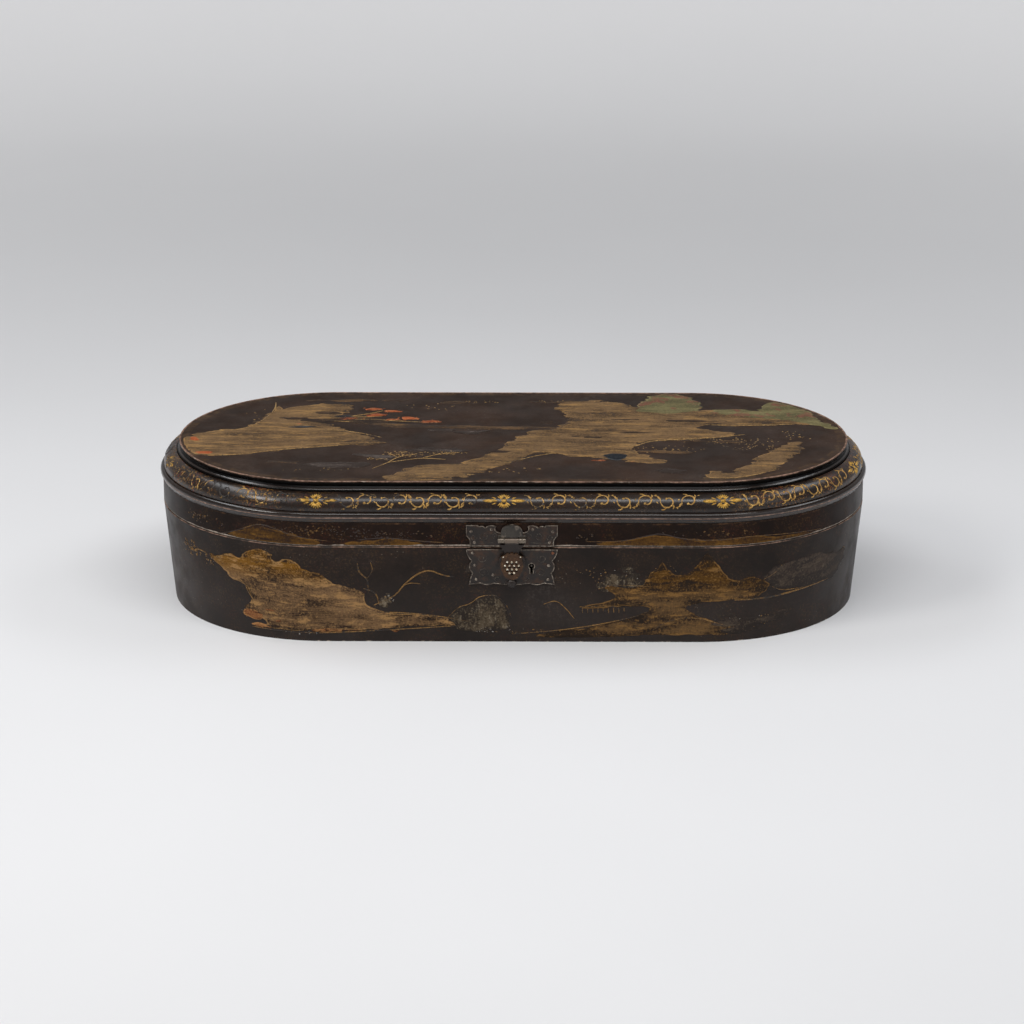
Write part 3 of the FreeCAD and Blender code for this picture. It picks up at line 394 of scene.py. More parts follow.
# Name, place, size, watts and colour of each lamp
LIGHTS = (("key", (-1.5, -1.1, 1.5), (0.6, 0.6), 15, (1.0, 0.98, 0.95)),
          ("top", (0.1, -0.82, 1.55), (1.7, 0.36), 14.5, (1, 1, 1)),
          ("left", (-1.0, 0.2, 1.25), (1.0, 0.35), 6, COOL),
          ("right", (1.05, 0.2, 1.2), (1.0, 0.35), 4.5, COOL),
          ("fill", (1.6, -1.5, 0.9), (1.2, 1.2), 4, COOL))
WORLD_COLOUR = (0.93, 0.935, 0.95, 1)
WORLD_ON_OBJECT = 0.27
WORLD_SEEN = 0.85

FLOOR_HALF = 4.0
FLOOR_TOP = 4.0
BEND_START = 1.6
BEND_RADIUS = 1.2
BEND_STEPS = 12


def linked(name, data):
    """New object of some data, in the scene."""
    made = bpy.data.objects.new(name, data)
    bpy.context.scene.collection.objects.link(made)
    return made


def make_camera():
    level = math.cos(CAMERA_ELEVATION)
    back = Vector((math.sin(CAMERA_AZIMUTH) * level, -math.cos(CAMERA_AZIMUTH) * level,
        math.sin(CAMERA_ELEVATION)))
    data = bpy.data.cameras.new("camera")
    data.sensor_width = SENSOR_WIDTH
    data.lens = SENSOR_WIDTH * FOCAL_PIXELS / FRAME_PIXELS
    data.shift_x, data.shift_y = (pixels / FRAME_PIXELS for pixels in SHIFT_PIXELS)
    camera = linked("camera", data)
    camera.location = CAMERA_TARGET + back * CAMERA_DISTANCE
    camera.rotation_euler = back.to_track_quat("Z", "Y").to_euler()
    bpy.context.scene.camera = camera


def make_lights():
    for name, place, size, watts, colour in LIGHTS:
        data = bpy.data.lights.new(name, "AREA")
        data.shape = "RECTANGLE"
        data.size, data.size_y = size
        data.energy = watts
        data.color = colour
        light = linked(name, data)
        light.location = place
        light.rotation_euler = (Vector(place) - LIGHT_TARGET).to_track_quat("Z", "Y").to_euler()
    world = bpy.data.worlds.new("studio")
    world.use_nodes = True
    tree = world.node_tree
    background = tree.nodes["Background"]
    background.inputs["Color"].default_value = WORLD_COLOUR
    seen = tree.nodes.new("ShaderNodeLightPath").outputs["Is Camera Ray"]
    strength = tree.nodes.new("ShaderNodeMix")
    strength.inputs[2].default_value = WORLD_ON_OBJECT
    strength.inputs[3].default_value = WORLD_SEEN
    tree.links.new(seen, strength.inputs[0])
    tree.links.new(strength.outputs[0], background.inputs["Strength"])
    bpy.context.scene.world = world
    bpy.context.scene.view_settings.view_transform = "Standard"


def make_floor():
    """Pale paper sweep: flat under the box and curved up far behind it."""
    profile = [(-FLOOR_HALF, 0.0), (0.0, 0.0), (BEND_START, 0.0)]
    for step in range(1, BEND_STEPS + 1):
        angle = math.radians(90) * step / BEND_STEPS
        profile.append((BEND_START + BEND_RADIUS * math.sin(angle),
            BEND_RADIUS * (1 - math.cos(angle))))
    profile.append((BEND_START + BEND_RADIUS, FLOOR_TOP))
    points = [(x, y, z) for y, z in profile for x in (-FLOOR_HALF, FLOOR_HALF)]
    faces = [(2 * i, 2 * i + 1, 2 * i + 3, 2 * i + 2) for i in range(len(profile) - 1)]
    mesh = bpy.data.meshes.new("floor")
    mesh.from_pydata(points, [], faces)
    mesh.shade_smooth()
    floor = linked("floor", mesh)
    s = Shader("floor_paper")
    s.set("Roughness", 0.9)
    s.set("Base Color", s.mix(s.noise(400, 2), (0.71, 0.71, 0.72), (0.75, 0.75, 0.76)))
    x, y, _ = s.axes()
    away = s.root_of_squares(x, y)
    seen = s.node("ShaderNodeLightPath").outputs["Is Camera Ray"]
    s.set("Emission Color", (0.95, 0.95, 0.96))
    s.set("Emission Strength", s.product(s.span(away, 0.7, 2.9, 0.0, 0.42), seen))
    mesh.materials.append(s.material)


# Surfaces that carry the relief. Each takes two distances along the surface and a
# height above it, and gives a point of the box in millimetres.

def around(s, inset):
    """Plan point at a distance s along the outermost line from the front middle."""
    s = on_ring(s)
    sign = 1 if s >= 0 else -1
    s = abs(s)
    r = END_RADIUS - inset
    end = STRAIGHT + math.pi * END_RADIUS
    if s <= STRAIGHT:
        return sign * s, -r
    if s >= end:
        return sign * (STRAIGHT - (s - end)), r
    angle = (s - STRAIGHT) / END_RADIUS
    return sign * (STRAIGHT + r * math.sin(angle)), -r * math.cos(angle)


def top_surface(x, y, h):
    return x, y, PANEL_TOP + h


def wall_surface(s, v, h):
    inset = BASE_INSET_TOP + (BASE_INSET_BOTTOM - BASE_INSET_TOP) * v / BASE_HEIGHT
    x, y = around(s, inset - h * math.cos(TAPER))
    return x, y, BASE_HEIGHT - v - h * math.sin(TAPER)


def fascia_surface(s, k, h):
    x, y = around(s, FASCIA_INSET - h)
    return x, y, LID_BOTTOM + k


def circle_through(a, b, c):
    """Centre and radius of the circle through three points of a plane."""
    ax, ay = a
    bx, by = b[0] - ax, b[1] - ay
    cx, cy = c[0] - ax, c[1] - ay
    d = 2 * (bx * cy - by * cx)
    ux = (cy * (bx * bx + by * by) - by * (cx * cx + cy * cy)) / d
    uy = (bx * (cx * cx + cy * cy) - cx * (bx * bx + by * by)) / d
    return (ax + ux, ay + uy), math.hypot(ux, uy)


OVOLO_FOOT = (3.0, OVOLO_BOTTOM)
OVOLO_HEAD = (13.0, OVOLO_TOP)
OVOLO_CENTRE, OVOLO_RADIUS = circle_through(OVOLO_FOOT, (5.8, OVOLO_BOTTOM + 8.75), OVOLO_HEAD)
OVOLO_START = math.atan2(OVOLO_FOOT[1] - OVOLO_CENTRE[1],
    OVOLO_FOOT[0] - OVOLO_CENTRE[0]) % (2 * math.pi)
OVOLO_END = math.atan2(OVOLO_HEAD[1] - OVOLO_CENTRE[1],
    OVOLO_HEAD[0] - OVOLO_CENTRE[0]) % (2 * math.pi)
OVOLO_WIDTH = abs(OVOLO_END - OVOLO_START) * OVOLO_RADIUS


def ovolo_surface(s, t, h):
    """t runs from 0 at the foot of the moulding to OVOLO_WIDTH at its head."""
    angle = OVOLO_START + (OVOLO_END - OVOLO_START) * t / OVOLO_WIDTH
    inset = OVOLO_CENTRE[0] + (OVOLO_RADIUS + h) * math.cos(angle)
    x, y = around(s, inset)
    return x, y, OVOLO_CENTRE[1] + (OVOLO_RADIUS + h) * math.sin(angle)


def lock_plate_surface(x, v, h):
    """Face of the tapered front wall's plate; v is up from the joint."""
    y = BASE_INSET_TOP - END_RADIUS - h * math.cos(TAPER) - v * math.sin(TAPER)
    return x, y, BASE_HEIGHT - h * math.sin(TAPER) + v * math.cos(TAPER)


def lid_plate_surface(x, v, h):
    return x, FASCIA_INSET - END_RADIUS - h, BASE_HEIGHT + v


def behind(surface, shift):
    """The same plate surface on the back of the box, at x = shift."""
    def turned(x, v, h):
        a, b, c = surface(x, v, h)
        return shift - a, -b, c
    return turned


# Relief building

def smooth(points, closed=False, rounds=2):
    """Corner cutting of a polyline."""
    for _ in range(rounds):
        cut = [] if closed else [points[0]]
        last = len(points) if closed else len(points) - 1
        for i in range(last):
            (ax, ay), (bx, by) = points[i], points[(i + 1) % len(points)]
            cut.append((0.75 * ax + 0.25 * bx, 0.75 * ay + 0.25 * by))
            cut.append((0.25 * ax + 0.75 * bx, 0.25 * ay + 0.75 * by))
        if not closed:
            cut.append(points[-1])
        points = cut
    return points


def signed_distance(xs, ys, outline):
    """Distance of grid points from a closed outline, positive inside."""
    inside = np.zeros(xs.shape, bool)
    nearest = np.full(xs.shape, 1e9)
    for (ax, ay), (bx, by) in zip(outline, outline[1:] + outline[:1]):
        dx, dy = bx - ax, by - ay
        share = np.clip(((xs - ax) * dx + (ys - ay) * dy) / (dx * dx + dy * dy + 1e-12), 0, 1)
        nearest = np.minimum(nearest, np.hypot(xs - ax - share * dx, ys - ay - share * dy))
        crosses = (ay > ys) != (by > ys)
        inside ^= crosses & (xs < dx * (ys - ay) / (dy if dy else 1e-12) + ax)
    return np.where(inside, nearest, -nearest)


SUNK = -0.12
BEAD_SUNK = -0.05
MASS_RISE = 0.14
MASS_GRAIN = 6.0
LEVELS = 9
LEVEL_STEP = 0.003
MASS_STEP = 0.0007


def across(before, ahead):
    """Unit vector to the left of the way from one point to another."""
    du, dv = ahead[0] - before[0], ahead[1] - before[1]
    length = math.hypot(du, dv) or 1.0
    return -dv / length, du / length


class Relief:
    """Raised work on one surface of the box, gathered into one mesh. limit gives the room left
    at a point. Each mass has a level of its own, so that no two of them share a plane."""

    def __init__(self, surface, seed=1, limit=None):
        self.surface = surface
        self.limit = limit
        self.random = random.Random(seed)
        self.level = -LEVEL_STEP * (seed % LEVELS)
        self.points, self.edges_in, self.faces = [], [], []

    def add(self, points, faces, edge=0.8):
        start = len(self.points)
        self.points += points
        self.edges_in += edge if isinstance(edge, list) else [edge] * len(points)
        self.faces += [tuple(start + i for i in face) for face in faces]

    def ribbon(self, route, width, rise=0.16, lift=0.0, ends=0.25, sunk=SUNK, closed=False):
        """Line of triangular section that narrows towards both ends, or goes round a loop."""
        count = len(route)
        last = count - 1
        points = []
        for i, (u, v) in enumerate(route):
            if closed:
                side, fade = across(route[i - 1], route[(i + 1) % count]), 1.0
            else:
                side = across(route[max(i - 1, 0)], route[min(i + 1, last)])
                fade = ends + (1 - ends) * math.sin(math.pi * (i / last)) ** 0.5
            nu, nv = (part * (width / 2 * fade) for part in side)
            points += [(u + nu, v + nv, lift + sunk), (u, v, lift + rise * fade),
                (u - nu, v - nv, lift + sunk)]
        faces = [] if closed else [(0, 1, 2), (3 * last + 2, 3 * last + 1, 3 * last)]
        for i in range(count if closed else last):
            a, b = 3 * i, 3 * ((i + 1) % count)
            faces += [(a, b, b + 1, a + 1), (a + 1, b + 1, b + 2, a + 2), (a + 2, b + 2, b, a)]
        self.add(points, faces)

    def lines(self, routes, width, rise, lift):
        for route in routes:
            self.ribbon(smooth(route), width, rise, lift)

    def dab(self, u, v, length, width, angle=0.0, rise=0.2, lift=0.0, point=1.0, sides=8):
        """Low mound: an ellipse, or a leaf where point is above 1."""
        points = [(u, v, lift + rise)]
        cos, sin = math.cos(angle), math.sin(angle)
        for i in range(sides):
            turn = 2 * math.pi * i / sides
            a = math.cos(turn) * length / 2
            b = math.copysign(abs(math.sin(turn)) ** point, math.sin(turn)) * width / 2
            points.append((u + a * cos - b * sin, v + a * sin + b * cos, lift + SUNK))
        faces = [(0, 1 + i, 1 + (i + 1) % sides) for i in range(sides)]
        faces.append(tuple(range(sides, 0, -1)))
        self.add(points, faces)

    def shrubs(self, places, size=(1.2, 3.0), lift=0.05):
        """Loose clusters of small leaves. Each of places is (u, v, width, height, count)."""
        pick = self.random
        for u, v, width, height, count in places:
            for _ in range(count):
                turn = pick.uniform(0, 2 * math.pi)
                reach = pick.random() ** 0.6
                x = u + width / 2 * reach * math.cos(turn)
                y = v + height / 2 * reach * math.sin(turn)
                length = pick.uniform(*size)
                self.dab(x, y, length, length * pick.uniform(0.4, 0.8), pick.uniform(-0.9, 0.9),
                    0.14, lift, 1.4, 6)

    def dome(self, u, v, radius, rise, lift):
        """Round nail head."""
        sides, rings = 12, 3
        points = [(u, v, lift + rise)]
        for ring in range(1, rings + 1):
            lean = math.radians(90) * ring / rings
            for i in range(sides):
                turn = 2 * math.pi * i / sides
                r = radius * math.sin(lean)
                points.append((u + r * math.cos(turn), v + r * math.sin(turn),
                    lift + rise * math.cos(lean) - 0.02))
        faces = [(0, 1 + i, 1 + (i + 1) % sides) for i in range(sides)]
        for a in range(1, (rings - 1) * sides, sides):
            for i in range(sides):
                j = (i + 1) % sides
                faces.append((a + i, a + sides + i, a + sides + j, a + j))
        faces.append(tuple(range(rings * sides, (rings - 1) * sides, -1)))
        self.add(points, faces)

    def spiral(self, u, v, outer, inner, turns, start, width, rise=0.16, lift=0.0):
        """Curl that winds inward; negative turns wind the other way."""
        steps = max(8, int(abs(turns) * 20))
        route = []
        for i in range(steps + 1):
            share = i / steps
            r = outer + (inner - outer) * share ** 0.85
            angle = start + 2 * math.pi * turns * share
            route.append((u + r * math.cos(angle), v + r * math.sin(angle)))
        self.ribbon(route, width, rise, lift)
        return route

    def patches(self, places, shape, **settings):
        """A mass at each of places, (u, v, length, width). shape gives each point of its outline
        as two divisors, of the length and of the width, with 0 for no part of it."""
        for u, v, length, width in places:
            outline = [(u + (length / a if a else 0), v + (width / b if b else 0)) for a,
                b in shape]
            self.mass(outline, **settings)

    def mass(self, outline, lift=0.0, step=2.0, rough=1.6, pillow=2.5):
        """Filled shape with an irregular brushed edge."""
        self.level -= MASS_STEP
        outline = smooth(outline, closed=True)
        columns, rows = (np.arange(min(line) - 2 * step, max(line) + 2 * step, step)
                         for line in zip(*outline))
        grid_u, grid_v = np.meshgrid(columns, rows)
        field = signed_distance(grid_u, grid_v, outline)
        seed = self.random.uniform(0, 500)
        brushed = np.abs(field) < 4 * rough + 3
        for at in map(tuple, np.argwhere(brushed)):
            place = Vector((grid_u[at] / MASS_GRAIN / 3.2 + seed, grid_v[at] / MASS_GRAIN, seed))
            field[at] += rough * noise.noise(place) * 2.4 + rough * noise.noise(place * 2.7) * 1.3
        if self.limit:
            for at in map(tuple, np.argwhere(brushed | (field > 0))):
                field[at] = min(field[at], self.limit(grid_u[at], grid_v[at]))
        self.fill(grid_u, grid_v, field, lift + self.level, pillow)

    def fill(self, grid_u, grid_v, field, lift, pillow):
        """Closed slab over the part of a grid where the field is positive."""
        found = {}
        points, edges, tops, border = [], [], [], []
        rows, columns = field.shape

        def kept(key, u, v, edge):
            found[key] = len(points)
            points.append((float(u), float(v)))
            edges.append(float(edge))

        def corner(at):
            if at not in found:
                kept(at, grid_u[at], grid_v[at], field[at])
            return found[at]

        def crossing(a, b):
            key = (a, b) if a < b else (b, a)
            if key not in found:
                share = min(max(field[a] / (field[a] - field[b]), 0.1), 0.9)
                kept(key, *(g[a] + share * (g[b] - g[a]) for g in (grid_u, grid_v)), 0.0)
            return found[key]

        for i in range(rows - 1):
            for j in range(columns - 1):
                square = ((i, j), (i, j + 1), (i + 1, j + 1), (i + 1, j))
                if not any(field[c] > 0 for c in square):
                    continue
                if all(field[c] > 0 for c in square):
                    tops.append(tuple(corner(c) for c in square))
                    continue
                for triangle in (square[:3], (square[0], *square[2:])):
                    polygon, cuts = [], {}
                    for a, b in zip(triangle, triangle[1:] + triangle[:1]):
                        if field[a] > 0:
                            polygon.append(corner(a))
                        if (field[a] > 0) != (field[b] > 0):
                            cuts[field[a] > 0] = crossing(a, b)
                            polygon.append(cuts[field[a] > 0])
                    if len(polygon) >= 3:
                        tops.append(tuple(polygon))
                    if cuts:
                        border.append((cuts[True], cuts[False]))
        count = len(points)
        heights = [lift + 0.02 + MASS_RISE * min(1.0, max(edge, 0) / pillow) for edge in edges]
        top = [(u, v, height) for (u, v), height in zip(points, heights)]
        bottom = [(u, v, lift + SUNK) for u, v in points]
        faces = tops + [tuple(count + i for i in reversed(face)) for face in tops]
        faces += [(b, a, count + a, count + b) for a, b in border]
        self.add(top + bottom, faces, edges + edges)

    def build(self, name, material, body):
        mesh = bpy.data.meshes.new(name)
        placed = [tuple(c * MM for c in self.surface(*point)) for point in self.points]
        mesh.from_pydata(placed, [], self.faces)
        layer = mesh.attributes.new("edge", "FLOAT", "POINT")
        layer.data.foreach_set("value", np.array(self.edges_in, np.float32))
        return placed_piece(name, mesh, material, body)


def on_ring(s):
    """Distance round the box brought into one turn, from the front middle."""
    return (s + PERIMETER / 2) % PERIMETER - PERIMETER / 2


RING_STEPS = 180


def edge_ring(name, section, material, body):
    """Fine moulding all round the box. section is a closed line of (inset, z) points."""
    points, faces = [], []
    count = len(section)
    for i in range(RING_STEPS):
        for inset, z in section:
            x, y = around(PERIMETER * i / RING_STEPS, inset)
            points.append((x * MM, y * MM, z * MM))
        a, b = count * i, count * ((i + 1) % RING_STEPS)
        faces += [(a + j, b + j, b + (j + 1) % count, a + (j + 1) % count) for j in range(count)]
    mesh = bpy.data.meshes.new(name)
    mesh.from_pydata(points, [], faces)
    return placed_piece(name, mesh, material, body)


def placed_piece(name, mesh, material, body):
    """Object of a closed mesh, with its faces turned outward, on a body."""
    worked = bmesh.new()
    worked.from_mesh(mesh)
    bmesh.ops.recalc_face_normals(worked, faces=worked.faces)
    worked.to_mesh(mesh)
    worked.free()
    mesh.shade_smooth()
    mesh.materials.append(material)
    mesh.validate()
    piece = linked(name, mesh)
    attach(piece, body)
    return piece


# Painting on the lid's top

def panel_room(x, y):
    """Room left between a point of the top and the border band, in millimetres."""
    return END_RADIUS - PANEL_BAND - math.hypot(max(abs(x) - STRAIGHT, 0), y)


def base_room(s, v):
    """Room left between a point of the base wall and its joint or foot."""
    return min(BASE_HEIGHT - 3.5 - v, v - 2.5)


def fascia_room(s, k):
    """Room left between a point of the fascia and its edges."""
    return min(FASCIA_HEIGHT - 1.5 - k, k - 0.8)


# Outlines for Relief.patches
LENS = ((-2, 0), (-5, 2), (2, 5), (6, -2))
FULL_LENS = ((-2, 0), (-5, 2), (2, 5), (5, -2))
MIST_LENS = ((-2, 0), (-6, 2), (2, 10), (5, -2.5))
TIP_LENS = ((-2, 0), (-6, -2), (2, 0), (6, 2))
CLUMP = ((-2, -3), (-3, 4), (-8, 2), (5, 3), (2, -4), (8, -5), (-6, -2))

TOP_GAPS = ((-150, 62, 30, 18), (-156, 38, 44, 16), (-116, 35, 40, 18), (-178, 46, 32, 12),
    (-228, 0, 24, 6), (150, 40, 70, 9), (30, 34, 24, 8), (96, 44, 44, 7), (60, -4, 36, 9),
    (96, 8, 40, 8), (-8, -44, 26, 9))


def paint_top():
    ground = PANEL_LACQUER
    land = painting("paint_top_land", ground, tone(84, 65, 45), tone(118, 93, 65),
        tone(156, 121, 75), cover=0.45)
    haze = painting("paint_top_haze", ground, tone(70, 54, 40), tone(92, 71, 50), tone(122, 92, 60),
        cover=0.5, rim_share=0.3)
    scuffed = painting("paint_top_scuffs", ground, tone(62, 52, 47), tone(82, 73, 68),
        tone(116, 106, 100), cover=0.52, hatch=0.0, wash=0.0, rim_share=0.0)
    gaps = painting("paint_top_gaps", ground, tone(42, 33, 28), tone(54, 42, 34), tone(96, 74, 50),
        cover=0.4, hatch=0.0, rim_share=0.35)
    green = painting("paint_top_hills", ground, tone(88, 82, 56), tone(116, 108, 74),
        tone(142, 130, 92), cover=0.36, patches=tone(118, 66, 58), hatch=0.0, streaks=0.3)
    red = painting("paint_top_red", ground, tone(128, 60, 32), tone(158, 80, 44),
        tone(184, 124, 84), cover=0.43, hatch=0.0, rim_share=0.4)
    dark = painting("paint_top_water", ground, tone(24, 27, 32), tone(34, 38, 44), tone(78, 82, 84),
        cover=0.3, hatch=0.0)
    lines = leaf_gold("gold_top_lines", ground, tone(134, 102, 58), tone(192, 156, 98), 0.40, 0.5)

    west = Relief(top_surface, 11, panel_room)
    west.mass([(-262, -24), (-257, 6), (-236, 13), (-214, 16), (-206, 40), (-197, 62), (-178, 82),
        (-146, 90), (-124, 78), (-142, 58), (-128, 50), (-160, 40), (-134, 15), (-104, -8),
        (-122, -22), (-150, -31), (-186, -40), (-222, -57), (-250, -52)], rough=2.2)
    west.mass([(-138, -17), (-116, -10), (-94, -21), (-114, -28), (-142, -26)], lift=0.03,
        rough=1.2)
    west.mass([(-196, 60), (-192, 88), (-186, 62)], rough=0.8, step=1.5)
    west.build("paint_west_land", land, "lid")

    east = Relief(top_surface, 12, panel_room)
    east.mass([(-102, -117), (-86, -94), (-66, -74), (-44, -77), (-24, -60), (-8, -28), (10, 8),
        (38, 24), (46, 50), (30, 80), (42, 95), (64, 100), (84, 93), (102, 80), (122, 66),
        (152, 72), (200, 68), (236, 58), (252, 32), (226, 32), (182, 27), (152, 32), (144, 20),
        (184, 5), (150, -8), (108, -12), (92, -27), (100, -50), (124, -72), (92, -70), (64, -61),
        (38, -52), (24, -42), (12, -57), (-4, -76), (-28, -104), (-58, -117)], rough=2.2)
    east.mass([(142, -112), (154, -90), (168, -98), (172, -82), (190, -70), (182, -57), (202, -44),
        (214, -18), (230, -16), (222, -50), (204, -88), (176, -112)], rough=2.0)
    east.build("paint_east_land", land, "lid")

    mist = Relief(top_surface, 13, panel_room)
    mist.mass([(-150, 48), (-108, 36), (-58, 27), (0, 24), (34, 24), (34, 18), (-20, 15), (-80, 19),
        (-134, 33)], rough=1.4, step=1.6)
    mist.patches([(x, y, length, 10) for x, y,
        length in ((-40, 92, 46), (44, 93, 76), (-140, 97, 70), (-96, 99, 40), (-30, -82, 34),
        (150, -14, 90), (120, -44, 60), (-176, -74, 40), (70, 8, 60))], MIST_LENS, rough=2.2,
        step=1.6)
    mist.build("paint_top_mist", haze, "lid")

    hills = Relief(top_surface, 14, panel_room)
    hills.mass([(94, 62), (104, 92), (114, 116), (132, 121), (146, 108), (158, 74), (126, 60)],
        lift=0.06, rough=1.6)
    hills.mass([(196, 60), (204, 92), (220, 102), (234, 80), (248, 40), (226, 54)], lift=0.06)
    hills.mass([(150, 66), (176, 76), (204, 68), (238, 52), (256, 30), (262, 12), (244, 28),
        (214, 43), (176, 52)], lift=0.04)
    hills.build("paint_green_hills", green, "lid")

    water = Relief(top_surface, 15, panel_room)
    water.mass([(70, -58), (72, -48), (84, -46), (92, -53), (89, -63), (78, -66)], lift=0.08,
        rough=0.8, step=1.4)
    water.mass([(-150, 51), (-136, 56), (-126, 50), (-138, 45)], lift=0.08, rough=0.8, step=1.4)
    water.mass([(-186, 22), (-168, 27), (-152, 22), (-170, 17)], lift=0.08, rough=0.8, step=1.4)
    water.build("paint_pools", dark, "lid")

    inlets = Relief(top_surface, 18, panel_room)
    inlets.patches(TOP_GAPS, LENS, lift=0.05, step=1.5)
    inlets.build("paint_top_inlets", gaps, "lid")
    worn = Relief(top_surface, 19, panel_room)
    worn.patches([(-136, -80, 60, 22), (-106, -56, 44, 18), (-60, -40, 60, 14), (-44, 10, 70, 12),
        (130, 92, 40, 8), (120, -92, 40, 10)], LENS, rough=3.0, step=1.8)
    worn.build("paint_top_scuffs", scuffed, "lid")

    trees = Relief(top_surface, 16, panel_room)
    pick = trees.random.uniform
    for x, y, length, width in ((-113, 72, 19, 9), (-98, 66, 15, 8), (-110, 55, 18, 10),
            (-96, 43, 15, 7), (-84, 46, 18, 9), (-66, 38, 17, 8), (-130, 47, 20, 5)):
        trees.patches([(x, y, length, width)], CLUMP, lift=0.08, rough=1.3, step=1.1, pillow=1.5)
        for _ in range(9):
            trees.dab(x + pick(-0.5, 0.5) * length, y + pick(-0.4, 0.4) * width, pick(1.6, 3.2),
                1.4, pick(-0.4, 0.4), 0.16, 0.1)
    trees.patches([(-252, -12, 14, 16), (-240, -48, 16, 12), (98, -68, 16, 5), (66, -66, 12, 4),
        (-14, -74, 9, 4), (-176, 30, 22, 5), (-198, -36, 24, 4)], FULL_LENS, lift=0.07, rough=1.4,
        step=1.3)
    trees.build("paint_red_trees", red, "lid")

    drawn = Relief(top_surface, 17, panel_room)
    drawn.lines(([(-152, 44), (-134, 51), (-116, 60), (-106, 68)],
        [(-134, 51), (-118, 50), (-106, 53)],
        [(-128, 44), (-112, 44), (-98, 40), (-84, 38), (-62, 34)],
        [(-160, 40), (-138, 38), (-116, 36)], [(-108, -88), (-96, -72), (-90, -58), (-76, -50)],
        [(-96, -72), (-84, -66), (-70, -60), (-52, -64)], [(-90, -58), (-96, -48)],
        [(-70, -60), (-58, -50), (-44, -46)], [(-196, 62), (-194, 78), (-195, 92)],
        [(64, -46), (74, -40), (86, -40), (96, -48)],
        [(-254, -50), (-222, -56), (-186, -40), (-150, -31), (-124, -24)],
        [(-236, 12), (-216, 15), (-204, 34), (-196, 60)], [(-182, -30), (-150, -24), (-120, -20)],
        [(-170, 18), (-130, 12), (-104, -6)], [(-96, -112), (-66, -98), (-28, -103)],
        [(-20, -64), (-4, -75), (14, -56), (34, -46)], [(96, -28), (110, -12), (150, -8), (184, 4)],
        [(152, 31), (184, 28), (226, 33)], [(146, -110), (176, -110), (206, -86)]), 1.5, 0.2, 0.06)
    drawn.shrubs(((-86, -50, 34, 18, 70), (-52, -46, 34, 14, 60), (-104, -62, 18, 12, 30),
        (168, -12, 90, 20, 60), (120, -36, 60, 20, 40), (188, -30, 50, 18, 40),
        (-34, 94, 50, 8, 24), (46, 95, 70, 8, 24), (226, 4, 30, 30, 22), (0, -92, 60, 14, 18),
        (-60, 80, 60, 20, 14), (-180, 50, 80, 60, 30), (-150, -92, 60, 12, 12),
        (84, 52, 90, 30, 24)))
    drawn.build("paint_top_lines", lines, "lid")


# Painting on the walls

